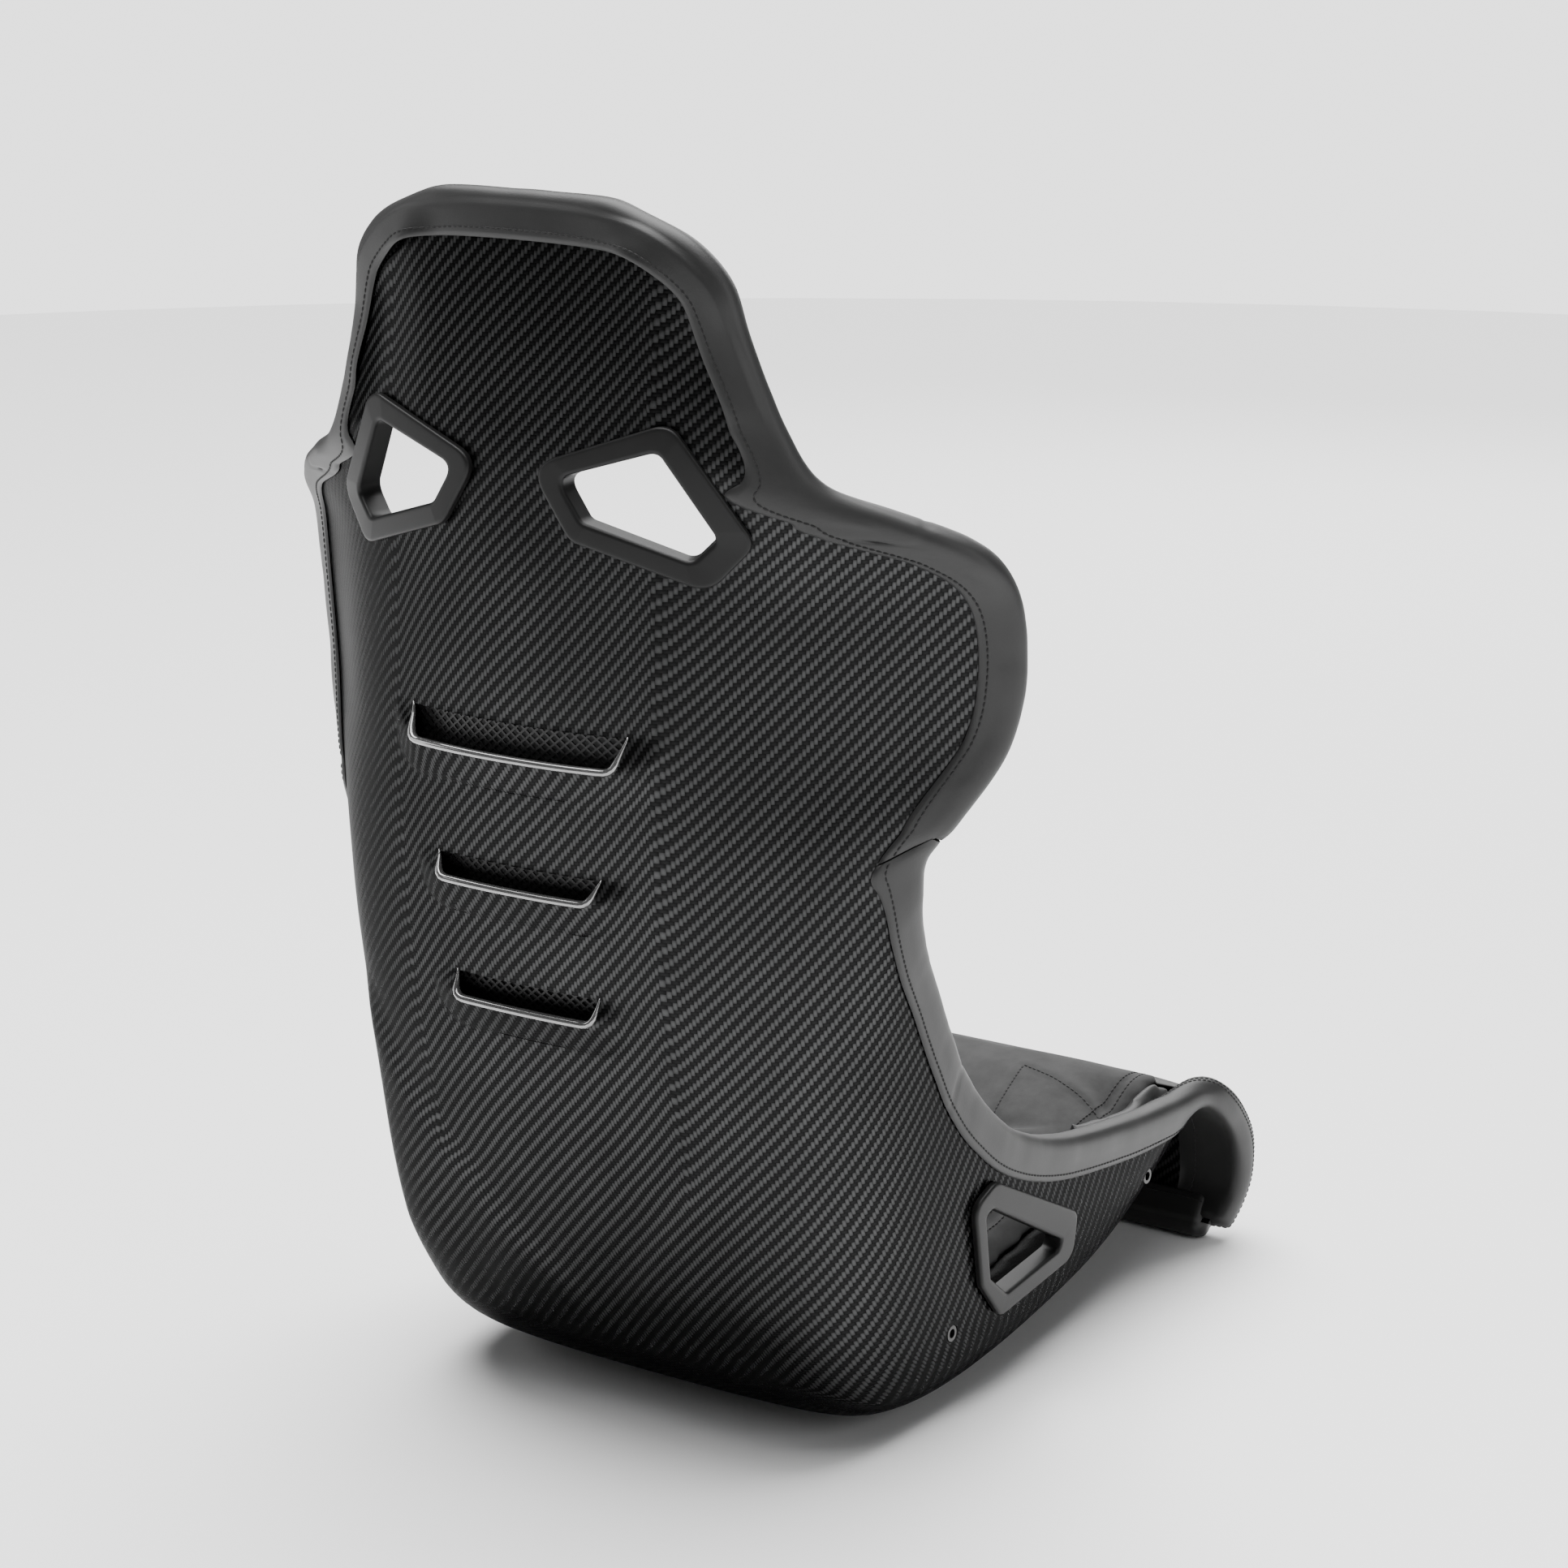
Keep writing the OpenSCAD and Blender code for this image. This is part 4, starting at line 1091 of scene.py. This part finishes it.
def makeRolls():
    threads = bmesh.new()
    fine = evenGap(roll["gapAlong"])
    side = spaced(roll["waist"] + roll["apart"], roll["top"], edgeLength("side"), fine)
    top = spaced(-roll["topEnd"], roll["topEnd"], edgeLength("top"), evenGap(roll["gapTop"]))[::-1]
    head = rollRings(np.full_like(top, float(lastU)), top, (0, 1), (-1, 0), np.ones_like(top))
    left, right = sideRings(side, 1.0), sideRings(side[::-1], -1.0)
    upper = np.concatenate([left, head, right])
    corner = int(np.argmin(np.abs(side - roll["shoulderSeam"])))
    upper = creased(upper, 3)
    upper = rounded(upper, (len(side), len(side) + len(top)))
    for at in (corner, len(upper) - 1 - corner):
        upper = seamed(upper, at, 1.1, 3.0)
    for at in (0, len(upper) - 1):
        upper = seamed(upper, at, 1.5, 4.0)
    makeRoll("edgeRollUpper", "edge_trim_upper", upper)
    for column, offset in stitchLines["columns"]:
        addStitches(threads, upper, column, offset)
    lower = spaced(roll["nose"], roll["waist"] - roll["apart"], edgeLength("side"), fine)
    for sideName, flip in (("left", 1.0), ("right", -1.0)):
        rings = creased(sideRings(lower, 1.0), 11 if flip > 0 else 12)
        rings = seamed(rings, len(rings) - 1, 1.5, 4.0)
        hip = int(np.argmin(np.abs(lower - roll["hipSeam"])))
        rings = seamed(rings, hip, 0.8, 3.0)
        rings = roundedEnds(rings, final=False) * np.array([flip, 1, 1])
        makeRoll("edgeRollLower" + sideName.capitalize(), "edge_trim_lower_" + sideName, rings)
        for column, offset in stitchLines["columns"]:
            addStitches(threads, rings, column, offset)
    nose = spaced(-roll["noseEnd"], roll["noseEnd"], edgeLength("lip"), fine)
    rings = rollRings(np.zeros_like(nose), nose, (0, 1), (1, 0), np.ones_like(nose))
    rings = roundedEnds(creased(rings, 5))
    rings[..., 2] = np.maximum(rings[..., 2], roll["floor"])
    makeRoll("edgeRollNose", "edge_trim_nose", rings)
    addStitches(threads, rings, 3, 0.1)
    dress(finishMesh(threads, "rollStitches"), threadFinish, "leather")


makeRolls()
print("edge rolls ready")


# Pads. Each starts as a closed form a little smaller than it ends, and swells under pressure,
# apart from a pad that is too thin to swell evenly.
padding = {
    "shrink": 0.86, "voxel": 0.0055, "pressure": 4.0, "frames": 20, "cap": 0.007,
    "tension": 25, "bending": 2.0, "thin": 10,
}


# How far in from the border of a pad a point lies, from 0 at the border to 1
def crownOf(s, t, power=0.5):
    near = np.minimum(1, 5 * np.minimum(s, 1 - s))
    return near**power * np.minimum(1, 5 * np.minimum(t, 1 - t))**power


def padForm(u0, u1, v0, v1, foam, rows, cols, flip=1):
    s, t = np.meshgrid(np.linspace(0, 1, rows), np.linspace(0, 1, cols), indexing="ij")
    u, v = u0 + (u1 - u0) * s, v0 + (v1 - v0) * t
    under = wall + roll["gap"]
    low = offAt(u, v, np.full_like(u, -under))
    thick = foam * padding["shrink"] * (0.3 + 0.7 * crownOf(s, t))
    top = offAt(u, v, -under - thick)
    for grid in (low, top):
        grid[..., 0] *= flip
    return low, top


def closedForm(low, top):
    bm = gridOf(low)
    gridOf(top, bm)
    closeBorder(bm)
    return bm


# Blows the piece up as cloth. Points near the resting side stay where they are.
def inflate(piece, low, room, cap=None):
    addModifier(piece, "REMESH", mode="VOXEL", voxel_size=padding["voxel"], use_smooth_shade=True)
    applyAll(piece)
    start = readPoints(piece)
    scene = bpy.context.scene
    cloth = piece.modifiers.new("Swell", "CLOTH")
    cloth.settings.use_pressure = True
    cloth.settings.uniform_pressure_force = padding["pressure"]
    cloth.settings.effector_weights.gravity = 0
    cloth.settings.quality = 4
    cloth.settings.tension_stiffness = padding["tension"]
    cloth.settings.bending_stiffness = padding["bending"]
    cloth.collision_settings.use_collision = False
    cloth.point_cache.frame_end = padding["frames"]
    for number in range(1, padding["frames"] + 1):
        scene.frame_set(number)
    applyAll(piece)
    scene.frame_set(1)
    move = readPoints(piece) - start
    bm = gridOf(low)
    bm.faces.ensure_lookup_table()
    tree = BVHTree.FromBMesh(bm)
    gap = np.array([tree.find_nearest(Vector(c))[3] or 0 for c in start])
    bm.free()
    size = np.linalg.norm(move, axis=1)
    limit = (cap or padding["cap"]) * ease(gap / (room * mm * 0.6))
    move *= (limit / np.maximum(size, 1e-9) * np.tanh(size / np.maximum(limit, 1e-9)))[:, None]
    writePoints(piece, start + move)
    addModifier(piece, "SUBSURF", levels=1, render_levels=1)
    applyAll(piece)
    mesh = piece.data
    mesh.polygons.foreach_set("use_smooth", [True] * len(mesh.polygons))
    return piece


# Sinks sewn channels into the side towards the occupant. Each is a line in u and v.
def sew(piece, channels, depth, width):
    co, no = readPoints(piece), readPoints(piece, "normal")
    pull = np.zeros(len(co))
    for line in channels:
        for p, q in zip(line[:-1] * mm, line[1:] * mm):
            way = q - p
            if way @ way < 1e-12:
                continue
            t = np.clip(((co - p) @ way) / (way @ way), 0, 1)
            away = np.linalg.norm(co - p - t[:, None] * way, axis=1)
            pull = np.maximum(pull, np.exp(-(away / (width * mm))**2))
    writePoints(piece, co - no * (pull * depth * mm)[:, None])
    return piece


backPads = {
    "headPad": (22.1, 23.9, -0.6, 0.6, 22, "head_pad", "suede"),
    "backPad": (14.35, 17.9, -0.46, 0.46, 22, "back_pad", "suede"),
    "lumbarPad": (11.1, 14.2, -0.44, 0.44, 22, "lumbar_pad", "suede"),
    "nosePad": (0.62, 2.9, -0.66, 0.66, 8, "nose_pad", "leather"),
}
sidePads = {
    "wingBolster": (14.7, 18.4, 0.52, 0.84, 24, "wing_bolster_", "leather"),
    "hipBolster": (9.8, 14.5, 0.52, 0.84, 24, "hip_bolster_", "leather"),
}


def finishPad(piece, cover, slotName, *nodes):
    dress(piece, cover, slotName, *nodes)
    return piece


# Finishes a left pad and its mirror image, whose faces are turned outward again
def finishPair(piece, name, slotName, node):
    twin = piece.copy()
    twin.data = piece.data.copy()
    twin.name = name + "Right"
    bpy.context.scene.collection.objects.link(twin)
    bm = bmesh.new()
    bm.from_mesh(twin.data)
    bmesh.ops.scale(bm, verts=bm.verts, vec=(-1, 1, 1))
    bmesh.ops.reverse_faces(bm, faces=bm.faces)
    bm.to_mesh(twin.data)
    bm.free()
    finishPad(piece, leatherFinish, slotName, node + "left")
    finishPad(twin, leatherFinish, slotName, node + "right")


def makePads():
    for name, (u0, u1, v0, v1, foam, node, cover) in backPads.items():
        low, top = padForm(u0, u1, v0, v1, foam, 44, 54)
        piece = finishMesh(closedForm(low, top), name)
        if foam > padding["thin"]:
            inflate(piece, low, foam)
        else:
            addModifier(piece, "SUBSURF", levels=1, render_levels=1)
            applyAll(piece)
        if name != "nosePad":
            corners = [(0.13, 0.13), (0.87, 0.13), (0.87, 0.87), (0.13, 0.87), (0.13, 0.13)]
            line = np.concatenate([np.linspace(a, b, 24) for a, b in zip(corners, corners[1:])])
            u, v = u0 + (u1 - u0) * line[:, 0], v0 + (v1 - v0) * line[:, 1]
            sew(piece, [offAt(u, v, np.full_like(u, -wall - roll["gap"] - foam))], 1.6, 3.2)
        finishPad(piece, suedeFinish if cover == "suede" else leatherFinish, cover, node)
    for name, (u0, u1, v0, v1, foam, node, cover) in sidePads.items():
        low, top = padForm(u0, u1, v0, v1, foam, 60, 22)
        piece = finishMesh(closedForm(low, top), name + "Left")
        inflate(piece, low, foam)
        u = np.linspace(u0 + 0.3, u1 - 0.3, 40)
        v = np.full_like(u, v0 + (v1 - v0) * 0.3)
        sew(piece, [offAt(u, v, np.full_like(u, -wall - roll["gap"] - foam))], 1.8, 3.0)
        finishPair(piece, name, cover, node)


# The loose cushion on the pan: its top's height by y, and the panels pressed into it
cushion = {
    "half": 158, "foam": 34,
    "top": [(-308, 134), (-274, 154), (-238, 150), (-178, 136),
            (-118, 120), (-38, 106), (42, 98), (220, 98)],
    "panel": [(66, -226), (150, -206), (136, -138), (84, -130)],
    "press": 2.0, "groove": 1.2, "grooveWidth": 2.2,
    "seamInset": 16, "seam": 1.5, "seamWidth": 2.4, "stitchInsets": (12.5, 19.5),
    "start": 2.85, "end": 7.9, "rows": 60, "riserStart": 9, "hole": 8.0, "riserHole": 20,
}


def cushionTop(x, y):
    rows = np.array(cushion["top"], float)
    at = np.interp(y, rows[:, 0], rows[:, 1])
    near = np.interp(y + 14, rows[:, 0], rows[:, 1]) + np.interp(y - 14, rows[:, 0], rows[:, 1])
    at = at * 0.5 + near * 0.25
    return at - 8 * (np.abs(x) / cushion["half"])**4


# Distance from points to a closed outline, negative inside it
def outlineDistance(points, outline):
    outline = np.array(outline, float)
    best = np.full(len(points), 1e9)
    inside = np.zeros(len(points), bool)
    for a, b in zip(outline, np.roll(outline, -1, 0)):
        way = b - a
        t = np.clip(((points - a) @ way) / (way @ way), 0, 1)
        best = np.minimum(best, np.linalg.norm(points - a - t[:, None] * way, axis=1))
        crosses = (a[1] > points[:, 1]) != (b[1] > points[:, 1])
        with np.errstate(divide="ignore", invalid="ignore"):
            left = points[:, 0] < (b[0] - a[0]) * (points[:, 1] - a[1]) / (b[1] - a[1]) + a[0]
        inside ^= crosses & left
    return np.where(inside, -best, best)


def columnGrids(us, cols, isRiser):
    y = skinAt(us, 0.0)[:, 1]
    t = np.linspace(-1, 1, cols)
    x = t[None] * cushion["half"] + 0.01 + 0 * y[:, None]
    yy = y[:, None] + 0 * t[None]
    u, v = onPan(x, yy)
    under = offAt(u, v, np.full_like(u, -wall - roll["gap"]))
    top = cushionTop(under[..., 0], under[..., 1])
    split = np.maximum(under[..., 2] + 6, top - cushion["foam"])
    low, high = under.copy(), under.copy()
    if isRiser:
        high[..., 2] = split - 0.8
    else:
        drop = ease((3.7 - us) / 0.3)[:, None]          # the front edge rests on the carbon
        low[..., 2] = split * (1 - drop) + (under[..., 2] + 0.5) * drop
        s = np.linspace(0, 1, len(us))[:, None] + 0 * t[None]
        edge = crownOf(s * 0.999 + 0.0005, (t[None] + 1) / 2 + 0 * s, 0.5)
        high[..., 2] = split + np.maximum(top - split, 4) * (0.55 + 0.45 * edge) * 0.97
    return low, high


# Cuts the crotch strap's hole through a pad
def cutStrapHole(piece, room):
    bm = bmesh.new()
    addCutter(bm, strapOutline(room), 2, -30, 230)
    cutAway(piece, bm)


def makeCushion():
    us = np.linspace(cushion["start"], cushion["end"], cushion["rows"])
    low, high = columnGrids(us, cushion["rows"], False)
    piece = finishMesh(closedForm(low, high), "seatCushion")
    cutStrapHole(piece, cushion["hole"])
    inflate(piece, low, cushion["foam"])
    co = readPoints(piece)
    flat = co[:, :2] / mm
    flat[:, 0] = np.abs(flat[:, 0])
    rise = ease((co[:, 2] / mm - np.maximum(cushionTop(flat[:, 0], flat[:, 1]) - 16, 0)) / 6)
    away = outlineDistance(flat, cushion["panel"])
    press = -cushion["press"] * ease(-away / 4)
    press -= cushion["groove"] * np.exp(-(away / cushion["grooveWidth"])**2)
    seam = np.abs(np.abs(flat[:, 0]) - (cushion["half"] - cushion["seamInset"]))
    along = ease((flat[:, 1] + 300) / 20) * ease((180 - flat[:, 1]) / 20)
    press -= cushion["seam"] * np.exp(-(seam / cushion["seamWidth"])**2) * along
    co[:, 2] += press * rise * mm
    writePoints(piece, co)
    finishPad(piece, suedeFinish, "suede", "seat_cushion")
    bm = bmesh.new()
    bm.from_mesh(piece.data)
    tree = BVHTree.FromBMesh(bm)
    bm.free()

    def onTop(points):
        found = []
        for x, y in points:
            hit = tree.ray_cast(Vector((x, y, 400)) * mm, Vector((0, 0, -1)))[0]
            if hit is not None:
                found.append(np.array(hit) / mm)
        return np.array(found)

    threads = bmesh.new()
    y = np.linspace(-280, 150, 180)
    for flip in (1, -1):
        for inset in cushion["stitchInsets"]:
            line = onTop([(flip * (cushion["half"] - inset), q) for q in y])
            addStitches(threads, np.stack([line, line], 1), 0)
        panel = np.array(cushion["panel"] + cushion["panel"][:1], float)
        ring = np.concatenate([np.linspace(a, b, 24) for a, b in zip(panel[:-1], panel[1:])])
        line = onTop([(flip * q[0], q[1]) for q in ring])
        addStitches(threads, np.stack([line, line], 1), 0)
    dress(finishMesh(threads, "cushionStitches"), threadFinish, "suede")
    low, high = columnGrids(us[cushion["riserStart"]:], 40, True)
    riser = finishMesh(closedForm(low, high), "thighRiser")
    cutStrapHole(riser, cushion["riserHole"])
    addModifier(riser, "REMESH", mode="VOXEL", voxel_size=0.006, use_smooth_shade=True)
    applyAll(riser)
    riser.data.polygons.foreach_set("use_smooth", [True] * len(riser.data.polygons))
    finishPad(riser, foamFinish, "riser_foam", "thigh_riser")


# Leather bolster between the cushion and each flank
thigh = {"start": 2.82, "end": 5.1, "rows": 44}


def makeThighBolsters():
    us = np.linspace(thigh["start"], thigh["end"], thigh["rows"])
    inset = wall + 0.8
    rings = []
    for u in us:
        rimPoint = skinAt(u, 1.0)
        flank = offAt(np.full(6, u), np.linspace(0.55, 0.76, 6), np.full(6, -inset))
        s = cushion["half"] + 1.5
        top = max(float(cushionTop(np.array(s - 1.5), flank[0, 1])), rimPoint[2] - 3)
        e = offAt(np.array(u), np.array(0.76), np.array(-inset - roll["foam"] - 3.5))
        x = min(e[0], flank[-1, 0] - roll["foam"] - 4.5)
        sunk = float(ease((3.3 - u) / 0.45)) * 7
        y = rimPoint[1]
        wide = x - s
        crown = [
            (0.8, top + 3.2 - sunk), (0.55, top + 4.6 - sunk * 1.4), (0.3, top + 3.4 - sunk * 1.4),
        ]
        ring = [(s, flank[0, 1], flank[0, 2] + 3)] + [tuple(q) for q in flank]
        ring += [(x, flank[-1, 1], flank[-1, 2] + 1), (x, y, rimPoint[2] + 1.0)]
        ring += [(s + wide * share, y, height) for share, height in crown]
        ring += [(s + 2.5, y, top - sunk * 1.2), (s, y, top - 5 - sunk)]
        rings.append(ring + ring[:1])
    rings = np.array(rings)
    bm = gridOf(rings)
    bmesh.ops.remove_doubles(bm, verts=bm.verts, dist=1e-6)
    capEnds(bm)
    bmesh.ops.triangulate(bm, faces=[f for f in bm.faces if len(f.verts) > 4])
    piece = finishMesh(bm, "thighBolsterLeft")
    inflate(piece, rings[:, 0:8], 14, 0.0035)
    bm = bmesh.new()
    for x, y, z in inserts["places"][1:]:
        addCutter(bm, holeOutline(y, z, inserts["pocket"]), 0, 170, 240)
    cutAway(piece, bm)
    finishPair(piece, "thighBolster", "leather", "thigh_bolster_")


makePads()
print("back pads ready")
makeCushion()
makeThighBolsters()
print("seat pads ready")

# The frame's own nodes that stay in view
keptNodes = {
    "insert_bosses": plasticFinish, "threaded_inserts": steelFinish, "hook_loop_patches": hookFinish,
}
for nodeName, finish in keptNodes.items():
    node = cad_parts[nodeName]
    node.data.materials.clear()
    node.data.materials.append(finish)

# Studio. Each light is: place, what it faces, width, height, power.
studio = {
    "floor": 0.9, "floorRadius": 5.5, "world": 0.07, "backdrop": 2.4,
    "daylight": 6.8, "daylightAngle": 1.1, "daylightTurn": (0.25, 0.2, 0),
    "target": (0, 0.0136, 0.4221), "azimuth": 214, "elevation": 15, "distance": 2.9,
    "lens": 91.3, "sensor": 36,
    "lights": {
        "overhead": ((-0.2, 0.5, 3.0), (0, 0.1, 0.4), 2.4, 2.4, 90),
        "sideRight": ((-3.6, 0.4, 1.5), (-0.1, 0.1, 0.45), 1.8, 2.2, 34),
        "sideLeft": ((3.2, 1.6, 1.4), (0, 0.2, 0.5), 1.4, 2.4, 26),
        "frontFill": ((1.0, -3.4, 1.9), (0, 0, 0.4), 2.0, 2.0, 45),
    },
}


def areaLight(name, place, aim, wide, tall, power):
    lamp = bpy.data.lights.new(name, "AREA")
    lamp.shape = "RECTANGLE"
    lamp.size, lamp.size_y = wide, tall
    lamp.energy = power
    holder = bpy.data.objects.new(name, lamp)
    bpy.context.scene.collection.objects.link(holder)
    holder.location = place
    holder.rotation_euler = (Vector(aim) - Vector(place)).to_track_quat("-Z", "Y").to_euler()


def makeStudio():
    bm = bmesh.new()
    bmesh.ops.create_circle(bm, cap_ends=True, segments=96, radius=studio["floorRadius"])
    floor = finishMesh(bm, "floor", recalc=False)
    f = Finish("studioFloor", {"Roughness": 0.9})
    drift = f.noise(f.place(), 900, 1.0)
    f.feed({"Base Color": f.blendColours(drift, grey(studio["floor"] * 0.99), grey(studio["floor"]))})
    floor.data.materials.append(f.material)
    floor.location.z = -0.0005
    world = bpy.data.worlds.new("studioAir")
    world.use_nodes = True
    tree = world.node_tree
    tree.nodes.clear()
    path, mix = tree.nodes.new("ShaderNodeLightPath"), tree.nodes.new("ShaderNodeMixShader")
    dim, pale = tree.nodes.new("ShaderNodeBackground"), tree.nodes.new("ShaderNodeBackground")
    dim.inputs["Color"].default_value = grey(1)
    pale.inputs["Color"].default_value = grey(studio["backdrop"])
    dim.inputs["Strength"].default_value = studio["world"]
    out = tree.nodes.new("ShaderNodeOutputWorld")
    tree.links.new(path.outputs["Is Camera Ray"], mix.inputs[0])
    tree.links.new(dim.outputs[0], mix.inputs[1])
    tree.links.new(pale.outputs[0], mix.inputs[2])
    tree.links.new(mix.outputs[0], out.inputs["Surface"])
    bpy.context.scene.world = world
    sun = bpy.data.lights.new("daylight", "SUN")
    sun.energy, sun.angle = studio["daylight"], studio["daylightAngle"]
    holder = bpy.data.objects.new("daylight", sun)
    holder.rotation_euler = studio["daylightTurn"]
    bpy.context.scene.collection.objects.link(holder)
    for name, light in studio["lights"].items():
        areaLight(name, *light)
    camera = bpy.data.objects.new("camera", bpy.data.cameras.new("camera"))
    bpy.context.scene.collection.objects.link(camera)
    camera.data.lens, camera.data.sensor_width = studio["lens"], studio["sensor"]
    target = Vector(studio["target"])
    a, e = math.radians(studio["azimuth"]), math.radians(studio["elevation"])
    way = Vector((math.sin(a) * math.cos(e), -math.cos(a) * math.cos(e), math.sin(e)))
    camera.location = target + way * studio["distance"]
    camera.rotation_euler = (target - camera.location).to_track_quat("-Z", "Y").to_euler()
    bpy.context.scene.camera = camera


makeStudio()
print("studio ready")
